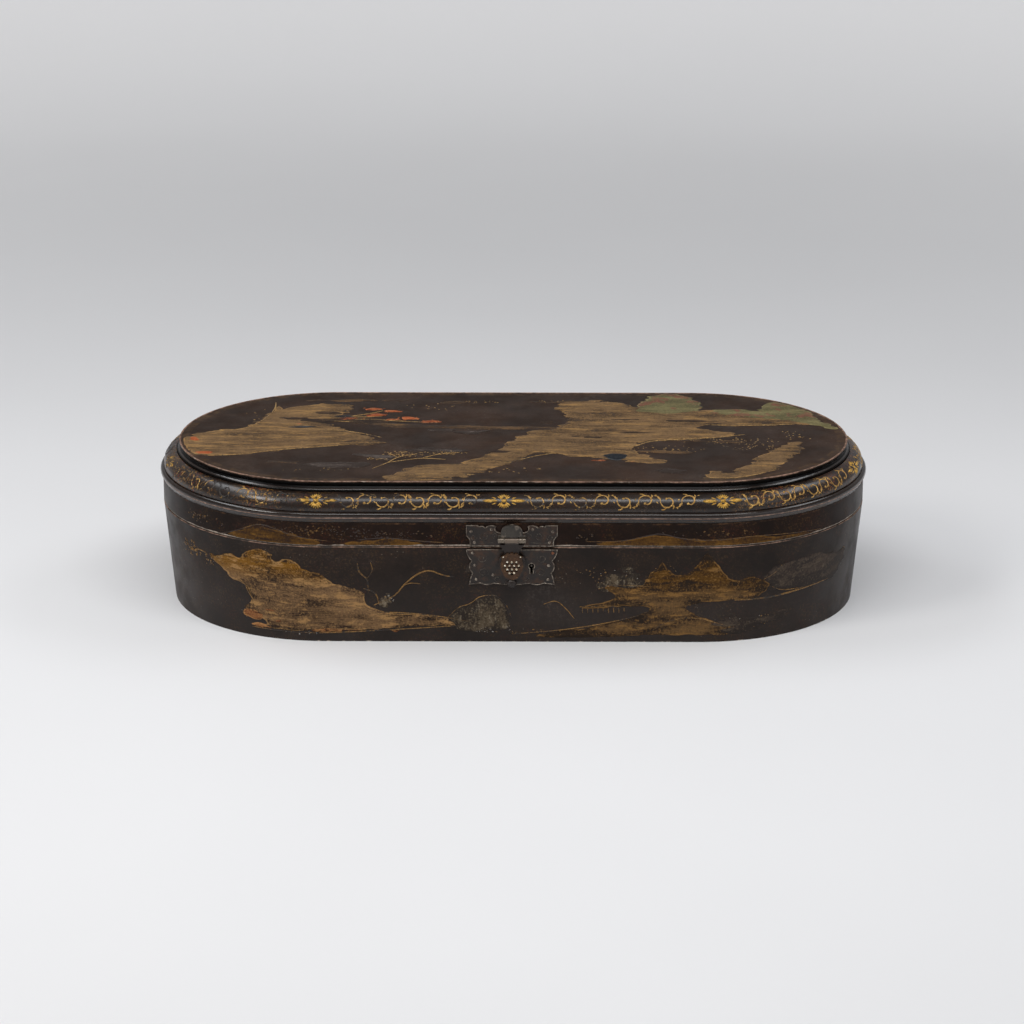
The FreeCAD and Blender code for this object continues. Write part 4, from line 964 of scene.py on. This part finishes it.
def paint_base():
    ground = LACQUER
    wall = (0.25, 0.25, 1.1)
    land = painting("paint_base_land", ground, tone(82, 63, 46), tone(118, 92, 66),
        tone(166, 128, 82), wall, 0.46, tops=(44, 62, tone(118, 80, 22)), hatch=0.14)
    east_land = painting("paint_base_east", ground, tone(74, 57, 40), tone(100, 77, 51),
        tone(138, 102, 58), wall, 0.48, tops=(34, 52, tone(84, 58, 22)), hatch=0.08)
    rock = painting("paint_base_rock", tone(42, 36, 32), tone(64, 54, 43), tone(90, 78, 63),
        tone(132, 120, 102), (0.9, 0.9, 0.35), 0.5, hatch=0.0, wash=0.12, rim_share=0.0)
    faded = painting("paint_base_faded", tone(44, 38, 35), tone(56, 48, 43), tone(70, 60, 53),
        tone(100, 88, 72), wall, 0.52, hatch=0.0, wash=0.15, rim_share=0.0, streaks=0.5)
    red = painting("paint_base_red", ground, tone(116, 70, 44), tone(140, 98, 62),
        tone(170, 124, 78), wall, 0.44, patches=tone(124, 52, 34))
    lines = leaf_gold("gold_base_lines", ground, tone(104, 76, 40), tone(152, 114, 62), 0.42, 0.54)

    west = Relief(wall_surface, 21, base_room)
    west.mass([(-250, 18), (-236, 17), (-225, 13), (-212, 15), (-205, 8), (-196, 4), (-187, 8),
        (-184, 16), (-175, 10), (-165, 13), (-160, 19), (-149, 22), (-142, 28), (-134, 34),
        (-114, 35), (-111, 42), (-115, 52), (-82, 55), (-50, 59), (-36, 64), (-62, 67), (-102, 69),
        (-151, 72), (-207, 71), (-188, 67), (-212, 63), (-198, 58), (-218, 58), (-203, 51),
        (-207, 45), (-211, 34), (-227, 33), (-237, 25)], rough=1.1, step=1.5)
    west.build("paint_base_west", land, "base")
    east = Relief(wall_surface, 22, base_room)
    east.mass([(52, 49), (75, 45), (82, 40), (66, 35), (77, 31), (100, 33), (104, 24), (115, 15),
        (124, 23), (136, 22), (149, 5), (149, 5), (158, 16), (169, 30), (185, 26), (205, 36),
        (192, 46), (163, 44), (136, 47), (133, 51), (143, 58), (174, 67), (178, 71), (153, 74),
        (106, 73), (60, 76), (0, 76), (37, 70), (72, 64), (98, 57), (108, 51), (87, 49), (56, 52)],
        rough=0.8, step=1.4)
    east.mass([(128, 30), (137, 21), (149, 4), (149, 4), (149, 4), (158, 15), (170, 30), (150, 34)],
        lift=0.05, rough=0.4, step=1.2)
    east.mass([(101, 33), (106, 24), (115, 12), (115, 12), (123, 24), (130, 32)], lift=0.04,
        rough=0.4, step=1.2)
    east.mass([(168, 38), (176, 29), (185, 26), (196, 30), (205, 36), (188, 40)], lift=0.05,
        rough=0.5, step=1.2)
    east.mass([(98, 73), (114, 65), (131, 59), (144, 59), (161, 65), (184, 67), (150, 73)],
        lift=0.06, rough=0.5, step=1.2)
    east.build("paint_base_east", east_land, "base")

    rocks = Relief(wall_surface, 24, base_room)
    rocks.mass([(-52, 60), (-43, 51), (-36, 50), (-29, 42), (-23, 46), (-15, 39), (-8, 44),
        (-3, 56), (0, 72), (-16, 70), (-34, 75)], lift=0.04, rough=1.5, step=1.4)
    rocks.mass([(62, 34), (72, 24), (88, 18), (100, 24), (104, 32), (84, 38)], lift=0.02, rough=2.4,
        step=1.6)
    rocks.mass([(-101, 40), (-92, 39), (-90, 46), (-97, 51), (-103, 47)], lift=0.03, rough=1.0,
        step=1.2)
    rocks.build("paint_rocks", rock, "base")

    worn = Relief(wall_surface, 28, base_room)
    worn.mass([(196, 26), (222, 18), (262, 20), (290, 28), (284, 42), (230, 43), (204, 38)],
        rough=2.6, step=1.8)
    worn.mass([(146, 62), (170, 57), (196, 58), (222, 61), (214, 68), (190, 71), (164, 73)],
        rough=2.4, step=1.6)
    worn.mass([(-40, 20), (-20, 14), (10, 18), (-6, 24)], rough=2.4, step=1.8)
    worn.build("paint_base_faded", faded, "base")

    tips = Relief(wall_surface, 25, base_room)
    tips.patches(((-205, 61, 22, 8), (-192, 56, 20, 7), (-180, 64, 26, 7), (-150, 70, 80, 4),
        (-196, 70, 28, 3), (-92, 70, 16, 3)), TIP_LENS, lift=0.06, rough=1.2, step=1.3)
    tips.build("paint_red_tips", red, "base")

    drawn = Relief(wall_surface, 26, base_room)
    for route, width in (([(-250, 19), (-262, 18), (-268, 23), (-280, 16)], 1.1),
            ([(-110, 36), (-110, 27), (-117, 22), (-118, 14)], 1.7),
            ([(-111, 27), (-106, 20), (-108, 13)], 0.9),
            ([(-106, 49), (-90, 42), (-83, 32), (-73, 23), (-63, 19), (-53, 24), (-44, 25)], 1.5),
            ([(-84, 33), (-78, 30), (-70, 31)], 0.8), ([(-114, 35), (-104, 38), (-102, 48)], 1.2),
            ([(-50, 60), (-41, 50), (-32, 48), (-25, 41), (-12, 40), (-4, 48), (0, 60)], 1.0),
            ([(-112, 55), (-82, 55), (-50, 59), (-30, 63)], 1.1),
            ([(-207, 72), (-150, 73), (-96, 70), (-40, 66)], 1.1),
            ([(0, 73), (37, 70), (72, 64), (98, 57)], 1.1),
            ([(106, 71), (120, 61), (140, 58), (160, 64), (178, 70)], 1.5),
            ([(66, 35), (77, 31), (109, 33)], 1.2),
            ([(172, 45), (200, 46), (232, 44), (268, 43)], 1.6),
            ([(204, 37), (214, 42), (236, 43)], 0.9),
            ([(24, 48), (34, 44), (42, 52), (48, 60)], 0.9),
            ([(196, 30), (206, 26), (212, 20)], 0.9),
            ([(-203, 50), (-208, 44), (-212, 34), (-228, 32)], 1.3)):
        drawn.ribbon(smooth(route), width, 0.18, 0.08)
    pier(drawn, 52, 88, 50)
    drawn.shrubs(((-270, 20, 26, 14, 60), (-246, 24, 16, 10, 16), (-96, 45, 10, 8, 10),
        (78, 30, 34, 16, 30), (-168, 36, 60, 20, 24), (116, 20, 20, 10, 12), (-150, 66, 90, 12, 30),
        (20, 70, 90, 6, 16), (190, 64, 40, 10, 22), (287, 25, 5, 7, 12), (228, 34, 40, 10, 16),
        (62, 22, 30, 10, 14), (-206, 60, 24, 10, 24)))
    drawn.build("paint_base_lines", lines, "base")

    flecks = Relief(wall_surface, 29, base_room)
    flecks.shrubs(((-16, 69, 30, 8, 16), (-158, 73, 40, 4, 8), (168, 62, 60, 10, 10),
        (-94, 43, 8, 8, 8), (80, 26, 40, 16, 10)), (0.8, 2.0), 0.1)
    pale = leaf_gold("pale_flecks", ground, tone(120, 114, 106), tone(168, 164, 158), 0.4, 0.5)
    flecks.build("paint_base_flecks", pale, "base")

    back = Relief(wall_surface, 27, base_room)
    for middle, length, height in ((-60, 150, 30), (90, 170, 38), (-230, 120, 26), (250, 120, 24)):
        s = FAR_SIDE + middle
        outline = [(s - length / 2, 64), (s - length / 4, 62 - height / 2),
            (s - length / 12, 62 - height), (s + length / 9, 58 - height / 2),
            (s + length / 4, 60 - height * 0.7), (s + length / 2, 66), (s + length / 5, 70),
            (s - length / 3, 71)]
        back.mass(outline, rough=1.6, step=2.0)
    back.build("paint_base_back", land, "base")
    back = Relief(wall_surface, 30, base_room)
    back.shrubs([(FAR_SIDE + middle, *rest) for middle, *rest in (
        (-60, 30, 60, 12, 30), (90, 24, 70, 14, 34), (-150, 58, 80, 12, 30), (10, 62, 60, 10, 26),
        (190, 58, 70, 12, 28), (-300, 40, 50, 24, 24), (330, 44, 60, 20, 26))])
    for middle in (-118, 22, 172):
        s = FAR_SIDE + middle
        for route, width in (([(0, 62), (-4, 48), (3, 36), (0, 24)], 1.6),
                ([(-2, 46), (-12, 38), (-20, 36)], 1.0), ([(2, 38), (12, 30), (20, 31)], 1.0),
                ([(1, 30), (-7, 22), (-13, 23)], 0.9)):
            back.ribbon(smooth([(s + u, v) for u, v in route]), width, 0.18, 0.06)
        back.shrubs([(s, 28, 44, 16, 26)])
    for start, end in ((-300, -170), (-140, 20), (0, 190), (170, 320)):
        middle = (start + end) / 2
        back.ribbon(smooth([(FAR_SIDE + start, 70), (FAR_SIDE + middle, 67), (FAR_SIDE + end, 71)]),
            1.4, 0.18, 0.06)
    back.build("paint_base_back_lines", lines, "base")


PIER_POSTS = 9


def pier(relief, start, end, v):
    """Plank walk on short posts."""
    relief.ribbon([(start, v), ((start + end) / 2, v - 1), (end, v)], 1.4, 0.18, 0.05, 0.8)
    for i in range(PIER_POSTS):
        s = start + (end - start) * (i + 0.5) / PIER_POSTS
        relief.ribbon([(s, v + 0.5), (s, v + 3), (s + 0.2, v + 5)], 1.0, 0.16, 0.05, 0.7)


def paint_fascia():
    ground = RED_BROWN
    hills = painting("paint_fascia_hills", ground, tone(66, 46, 24), tone(84, 58, 26),
        tone(112, 80, 36), (0.25, 0.25, 1.1), 0.45, hatch=0.1)
    lines = leaf_gold("gold_fascia_lines", ground, tone(84, 60, 30), tone(118, 86, 44), 0.44, 0.56)

    shapes = [[(-232, 0), (-216, 6), (-203, 12), (-193, 14.5), (-182, 12), (-166, 7), (-146, 4),
        (-146, 0)], [(-140, 0), (-122, 5), (-104, 4), (-90, 7), (-72, 4), (-52, 0)],
        [(52, 0), (78, 4), (92, 6), (104, 9), (114, 10.5), (130, 6), (156, 4), (184, 7), (216, 4),
        (256, 0)]]
    for middle in (-210, -20, 190):
        s = FAR_SIDE + middle
        shapes.append([(s - 90, 0), (s - 40, 6), (s - 10, 13), (s + 20, 8), (s + 60, 9),
            (s + 90, 0)])
    land = Relief(fascia_surface, 31, fascia_room)
    for outline in shapes:
        land.mass(outline, rough=0.8, step=1.2)
    land.build("paint_fascia_hills", hills, "lid")
    drawn = Relief(fascia_surface, 32, fascia_room)
    drawn.shrubs(((-150, 12, 70, 8, 60), (-84, 9, 50, 8, 40), (56, 9, 16, 7, 16),
        (150, 11, 80, 5, 20), (-250, 9, 50, 9, 30), (-112, 9, 40, 10, 30)))
    drawn.lines(([(-232, 1), (-216, 6), (-203, 12), (-193, 15), (-181, 12), (-166, 7), (-140, 4)],
        [(-118, 5), (-96, 7), (-70, 4), (-52, 3)],
        [(56, 4), (80, 4), (92, 6), (104, 9), (114, 11), (130, 6), (156, 5), (184, 7), (216, 5),
        (250, 2)]), 1.1, 0.16, 0.06)
    drawn.build("paint_fascia_lines", lines, "lid")


# Running scroll and chrysanthemums round the convex moulding

MEDALLIONS = 9
SCROLLS = 8
MEDALLION_SHIFT = -6.0
MEDALLION_ROOM = 18.0
CURL_REACH = 6.5


def paint_ovolo():
    gold = leaf_gold("gold_scroll", LACQUER, tone(138, 102, 50), tone(196, 156, 88), 0.42, 0.50,
        0.3)
    bright = leaf_gold("gold_flowers", LACQUER, tone(168, 124, 44), tone(214, 172, 88), 0.37, 0.47,
        0.32)
    scroll = Relief(ovolo_surface, 41)
    flowers = Relief(ovolo_surface, 42)
    spacing = PERIMETER / MEDALLIONS
    middle = OVOLO_WIDTH / 2
    places = [MEDALLION_SHIFT + m * spacing for m in range(MEDALLIONS + 1)]
    places[1] += 8
    places[MEDALLIONS - 1] += 16
    for start, end in zip(places, places[1:]):
        flower(flowers, start, middle)
        pitch = (end - start - 2 * MEDALLION_ROOM) / SCROLLS
        for i in range(SCROLLS):
            side = 1 if i % 2 else -1
            scroll_unit(scroll, start + MEDALLION_ROOM + (i + 0.5) * pitch, middle, pitch, side)
    scroll.build("gold_scroll", gold, "lid")
    flowers.build("gold_flowers", bright, "lid")


def scroll_unit(relief, s, t, pitch, side):
    """One curl of the running scroll with its hooked leaves."""
    start = math.radians(215 if side > 0 else 145)
    route = relief.spiral(s, t + side * 0.3, CURL_REACH, 2.6, -0.92 * side, start, 1.9, 0.22)
    end_u, end_v = route[-1]
    relief.dab(end_u, end_v, 3.0, 2.6, 0.4, 0.24, 0.02)
    for share, length in ((0.1, 3.6), (0.34, 4.2), (0.58, 3.8)):
        u, v = route[int(share * (len(route) - 1))]
        outward = math.atan2(v - t, u - s) + 0.5 * side
        bend = (u + 0.6 * length * math.cos(outward), v + 0.6 * length * math.sin(outward))
        turned = outward + 0.9 * side
        tip = (bend[0] + 0.5 * length * math.cos(turned), bend[1] + 0.5 * length * math.sin(turned))
        if abs(tip[1] - t) < OVOLO_WIDTH / 2 - 0.6:
            relief.ribbon(smooth([(u, v), bend, tip]), 1.7, 0.2, 0.0, 0.3)
    link = [(s - pitch * 0.66, t - side * 5.2), (s - pitch * 0.46, t - side * 4.2),
        (s - CURL_REACH * 0.93, t - side * 2.4)]
    relief.ribbon(smooth(link), 1.3, 0.2)
    relief.dab(s - pitch * 0.5, t + side * 1.2, 3.6, 1.5, 0.9 * side, 0.2, 0, 1.5)
    relief.dab(s + pitch * 0.42, t + side * 5.4, 3.8, 1.5, 0.6 * side, 0.2, 0, 1.5)


def flower(relief, s, t):
    """Chrysanthemum seen from the side, with a long pointed leaf at each hand."""
    for up in (1, -1):
        for i in range(7):
            angle = math.radians(90 * up + (i - 3) * 17)
            reach = 8.2 - 0.3 * abs(i - 3)
            near = 0.55 * reach
            relief.dab(s + near * math.cos(angle), t + near * math.sin(angle), reach * 0.95, 1.7,
                angle, 0.3, 0, 0.9)
    for side in (-1, 1):
        relief.dab(s + side * 10.5, t, 16.0, 4.2, 0, 0.3, 0, 1.2)
        for up in (1, -1):
            relief.dab(s + side * 7.5, t + up * 2.3, 5.5, 1.5, up * side * 0.35, 0.26, 0, 1.4)
    relief.dab(s, t, 5.0, 3.4, 0, 0.42, 0.05)


# Iron fittings: nails, worn raised edges and chased curls

BEAD_INSET = 0.55
BEAD_WIDTH = 0.9
BEAD_RISE = 0.22
HINGE_SHIFT = 90
RIVET_PITCH = 3.5
RIVET_ROW = 3.03
RIVET_MIDDLE = -13.5


def face_loops(node, towards):
    """Outlines of the flat faces of a node that look one way, as lists of points in mm."""
    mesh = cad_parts[node].data
    seen = {}
    for polygon in mesh.polygons:
        if polygon.normal.dot(towards) > 0.999:
            corners = list(polygon.vertices)
            for a, b in zip(corners, corners[1:] + corners[:1]):
                pa, pb = (tuple(round(c / MM, 3) for c in mesh.vertices[i].co) for i in (a, b))
                if (pb, pa) in seen:
                    del seen[(pb, pa)]
                else:
                    seen[(pa, pb)] = True
    after = {a: b for a, b in seen}
    loops = []
    while after:
        start, here = after.popitem()
        loop = [start]
        while here != start and here in after:
            loop.append(here)
            here = after.pop(here)
        loops.append(loop)
    return loops


def edge_bead(name, node, surface, unplace, towards, material, body):
    """Raised, rubbed line just inside the outline of a plate. unplace takes a point of the box
    to the surface's two distances."""
    relief = Relief(surface)
    for loop in face_loops(node, towards):
        flat = [unplace(point) for point in loop]
        moved = []
        for i, (u, v) in enumerate(flat):
            side = across(flat[i - 1], flat[(i + 1) % len(flat)])
            moved.append((u + side[0] * BEAD_INSET, v + side[1] * BEAD_INSET))
        relief.ribbon(moved, BEAD_WIDTH, BEAD_RISE, PLATE, sunk=BEAD_SUNK, closed=True)
    relief.build(name, material, body)


def curls(name, surface, material, body, spirals, bars=()):
    """Chased curls, alike on both sides of the middle. Each of spirals is (x, v, outer, inner,
    turns, angle, swing, width, rise). The swing is added to the angle on the right and taken
    from it on the left, both in degrees."""
    relief = Relief(surface)
    for side in (-1, 1):
        for x, v, outer, inner, turns, angle, swing, width, rise in spirals:
            start = math.radians(angle + swing * side)
            relief.spiral(side * x, v, outer, inner, turns * side, start, width, rise, PLATE)
        relief.lines([[(side * x, v) for x, v in bar] for bar in bars], 0.9, 0.26, PLATE)
    relief.build(name, material, body)


def studs(name, surface, material, body, *groups, lift=PLATE, slot="patinated_iron"):
    """Nail heads as one piece. Each of groups is (radius, rise, points)."""
    relief = Relief(surface)
    for radius, rise, places in groups:
        for u, v in places:
            relief.dome(u, v, radius, rise, lift)
    relief.build(name, material, body)


def fit_hardware(rubbed):
    chased = metal("iron_chased", tone(56, 47, 40), tone(108, 98, 87), 0.4, 2.0, 0.1, 0.48, 0.66,
        (0.2, 0.45))
    copper = metal("copper_nail", tone(120, 74, 50), tone(190, 130, 98), 0.4, 1.5)
    out = Vector((0, -math.cos(TAPER), -math.sin(TAPER)))

    def lower(point):
        x, y, z = point
        inward = y + END_RADIUS - BASE_INSET_TOP
        return x, (z - BASE_HEIGHT) * math.cos(TAPER) - inward * math.sin(TAPER)

    def upper(point):
        return point[0], point[2] - BASE_HEIGHT

    edge_bead("lock_plate_edge", "lock_plate", lock_plate_surface, lower, out, rubbed, "base")
    edge_bead("hasp_plate_edge", "hasp_plate", lid_plate_surface, upper, Vector((0, -1, 0)), rubbed,
        "lid")
    curls("hasp_plate_curls", lid_plate_surface, chased, "lid", (
        (21, 9, 4.0, 0.9, -1.3, 90, -60, 1.0, 0.3), (29, 8, 2.8, 0.8, 1.2, 90, 70, 0.9, 0.28),
        (12.6, 9.4, 2.6, 0.7, 1.2, -90, 0, 0.9, 0.3)), [((14, 4), (20, 3), (27, 3.6))])
    curls("lock_plate_curls", lock_plate_surface, chased, "base", (
        (23, -9, 4.0, 0.9, 1.3, 90, 60, 1.0, 0.3), (22, -21, 4.2, 0.9, -1.3, -90, -60, 1.0, 0.3),
        (11, -26.4, 2.6, 0.7, 1.2, -60, 0, 0.9, 0.28)))
    studs("lock_plate_nails", lock_plate_surface, rubbed, "base", (1.25, 0.75, (
        (-30, -4.6), (-27.2, -26.6), (27.6, -26.8), (-14.5, -23), (28, -15), (-28.5, -15))))
    studs("lock_plate_copper_nail", lock_plate_surface, copper, "base",
        (1.3, 0.75, ((31.2, -4.6),)))
    studs("hasp_plate_nails", lid_plate_surface, rubbed, "lid", (1.2, 0.7, [
        (side * x, v) for side in (-1, 1) for x, v in ((31, 12.6), (28.6, 3.8), (15.6, 14.2))]))
    for name, shift in (("left", -HINGE_SHIFT), ("right", HINGE_SHIFT)):
        studs("hinge_base_nails_" + name, behind(lock_plate_surface, shift), rubbed, "base",
            (1.2, 0.7, ((-12.5, -7.5), (12.5, -7.5), (-8, -15.5), (8, -15.5), (0, -21))))
        studs("hinge_lid_nails_" + name, behind(lid_plate_surface, shift), rubbed, "lid",
            (1.2, 0.7, ((-12.5, 7), (12.5, 7), (0, 13.4))))
    # Gilt rivet heads, coloured near white with a low metallic share as painted glints on the
    # domes.
    gilt = metal("gilt_rivet_glint", tone(196, 180, 150), tone(240, 234, 220), 0.3, 1.2, 0.06, 0.45, 0.6,
        (0.1, 0.3))
    dots = [((i - (count - 1) / 2) * RIVET_PITCH, RIVET_MIDDLE + row * RIVET_ROW)
            for row, count in ((-2, 2), (-1, 3), (0, 4), (1, 3)) for i in range(count)]
    studs("shield_rivets", lock_plate_surface, gilt, "hasp", (0.85, 0.5, dots),
          (0.6, 0.45, ((-6.6, -6.2), (6.6, -6.2))), lift=SHIELD_FRONT, slot="gilt_shield")


def dress(material, *nodes):
    """Gives CAD nodes their material."""
    for node in nodes:
        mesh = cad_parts[node].data
        mesh.materials.clear()
        mesh.materials.append(material)


# Sections of the two rounded mouldings, as (inset, height over the panel's top or the bead's foot)
SHOULDER = ((13.5, -8.0), (13.7, -7.1), (14.2, -6.3), (14.9, -5.6), (15.7, -5.0), (16.4, -4.6),
    (16.4, -8.0))
NOSE = ((4.5, 0.0), (2.0, 0.0), (1.9, 0.8), (1.3, 1.9), (0.6, 2.8), (0.14, 3.9), (0.03, 5.0),
    (0.13, 5.9), (0.5, 6.7), (1.05, 7.3), (1.8, 7.7), (2.6, 7.8), (4.5, 7.8))


def dress_box():
    # The panel's lacquer is painted near black in the undercut under its rim, as shade; the last
    # argument gives the height.
    dress(lacquer("lacquer_panel", PANEL_LACQUER, PANEL_BROWN, [
        (PANEL_RIM_INSET + 0.2, PANEL_RIM - 0.2, 1.5, 7.0, LIGHT_WEAR, 0.4, 0.54),
        (PANEL_RIM_INSET + 0.8, PANEL_RIM - 0.2, 2.3, 16.0, PINK_WEAR, 0.24, 0.44),
    ], (0.42, 0.55), 0.08, 0.6, 0.0, (PANEL_FLAT_INSET, 24.0), PANEL_TOP - 1.1), "lid_top_board")
    glossy = lacquer("lacquer_moulding", LACQUER, LACQUER_BROWN, (), (0.14, 0.26), 0.5, 0.15)
    edge_ring("lid_shoulder_round", [(inset, PANEL_TOP + z) for inset, z in SHOULDER], glossy,
        "lid")
    worn_bead = lacquer("lacquer_bead", LACQUER, LACQUER_BROWN, [
        (0.1, BEAD_BOTTOM + 4.0, 1.2, 12.0, PINK_WEAR, 0.22, 0.42),
        (1.6, BEAD_BOTTOM + 1.4, 1.8, 10.0, BROWN_WEAR, 0.38, 0.6),
    ], (0.14, 0.24), 0.5, 0.15)
    bead = edge_ring("lid_bead_nose", [(inset, BEAD_BOTTOM + z) for inset, z in NOSE], worn_bead,
        "lid")
    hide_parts("lid_bead")
    dress(lacquer("lacquer_ovolo", LACQUER, LACQUER_BROWN, [
        (OVOLO_HEAD[0], OVOLO_HEAD[1], 1.2, 8.0, BROWN_WEAR, 0.5, 0.66),
    ], (0.22, 0.34), 0.45, 0.3, 0.9, by_end=True), "lid_ovolo")
    dress(lacquer("lacquer_fascia", tone(31, 23, 19), RED_BROWN, [
        (FASCIA_INSET + 0.2, LID_BOTTOM + 0.4, 1.9, 16.0, LIGHT_WEAR, 0.16, 0.36),
        (FASCIA_INSET, LID_BOTTOM + 18.0, 3.0, 14.0, BROWN_WEAR, 0.46, 0.7),
    ], (0.34, 0.5), 0.1, 0.25, 0.15), "lid_wall")
    dress(lacquer("lacquer_base", LACQUER, LACQUER_BROWN, [
        (BASE_INSET_TOP + 0.3, BASE_HEIGHT - 0.4, 1.4, 16.0, PINK_WEAR, 0.34, 0.5),
        (BASE_INSET_BOTTOM, 0.3, 1.6, 6.0, LIGHT_WEAR, 0.52, 0.64),
    ], (0.34, 0.52), 0.18, 0.35, 0.1, haze=(22, 64, 0.4)), "base_wall")
    dress(lacquer("lacquer_inside", LACQUER, LACQUER_BROWN, (), (0.3, 0.5), 0.4, 0.2, 0.8),
        "base_board", "base_lip", "partition_left", "partition_right", "inkstone_board",
        "tray_left", "tray_right")
    dress(metal("iron_patina", tone(38, 30, 25), tone(64, 45, 33), 0.5, 7.0, 0.12, 0.46, 0.66,
        (0.2, 0.4)), "lock_plate", "hasp_plate", "hasp_staple", "hinge_base_leaf_left",
        "hinge_base_leaf_right", "hinge_lid_leaf_left", "hinge_lid_leaf_right")
    # Height and reach of the painted highlight along the hasp's hinge barrel, for the strap and the
    # mount.
    low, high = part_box("hasp_hinge_pin")
    barrel = ((low.z + high.z) / 2 / MM, 2.6)
    dress(metal("iron_strap", tone(44, 32, 25), tone(112, 99, 87), 0.4, 6.0, 0.1, 0.6, 0.76,
        (0.25, 0.5), barrel), "hasp_strap")
    rubbed = metal("iron_rubbed", tone(84, 72, 62), tone(150, 138, 124), 0.36, 2.0, 0.1, 0.44, 0.6,
        (0.2, 0.45))
    dress(metal("iron_mount", tone(60, 55, 49), tone(118, 107, 95), 0.34, 4.0, 0.08, 0.5, 0.7,
        (0.3, 0.55), barrel), "hasp_mount")
    dress(metal("iron_boss", tone(48, 40, 36), tone(96, 86, 78), 0.36, 2.0, 0.08, 0.54, 0.7,
        (0.3, 0.5)), "hasp_boss")
    dress(rubbed, "hasp_hinge_pin", "hinge_pin_left", "hinge_pin_right")
    dress(metal("iron_lock", tone(98, 90, 82), tone(124, 116, 108), 0.55, 5.0),
          "lock_case", "lock_bolt", "bolt_guides", "bolt_spring", "key_pin")
    dress(metal("gilt_shield", tone(76, 52, 32), tone(150, 118, 80), 0.36, 1.6, 0.1, 0.6, 0.72),
        "hasp_shield")
    dress(metal("bronze_brown", tone(120, 92, 62), tone(156, 128, 88), 0.42, 6.0), "water_dropper")
    dress(stone_material(), "inkstone")
    dress(ink_material(), "ink_stick")
    dress(bamboo_material(), "brush_handle_large", "brush_handle_small")
    dress(hair_material(), "brush_hair_large", "brush_hair_small")
    fit_hardware(rubbed)


make_camera()
make_lights()
make_floor()
dress_box()
paint_top()
paint_base()
paint_fascia()
paint_ovolo()
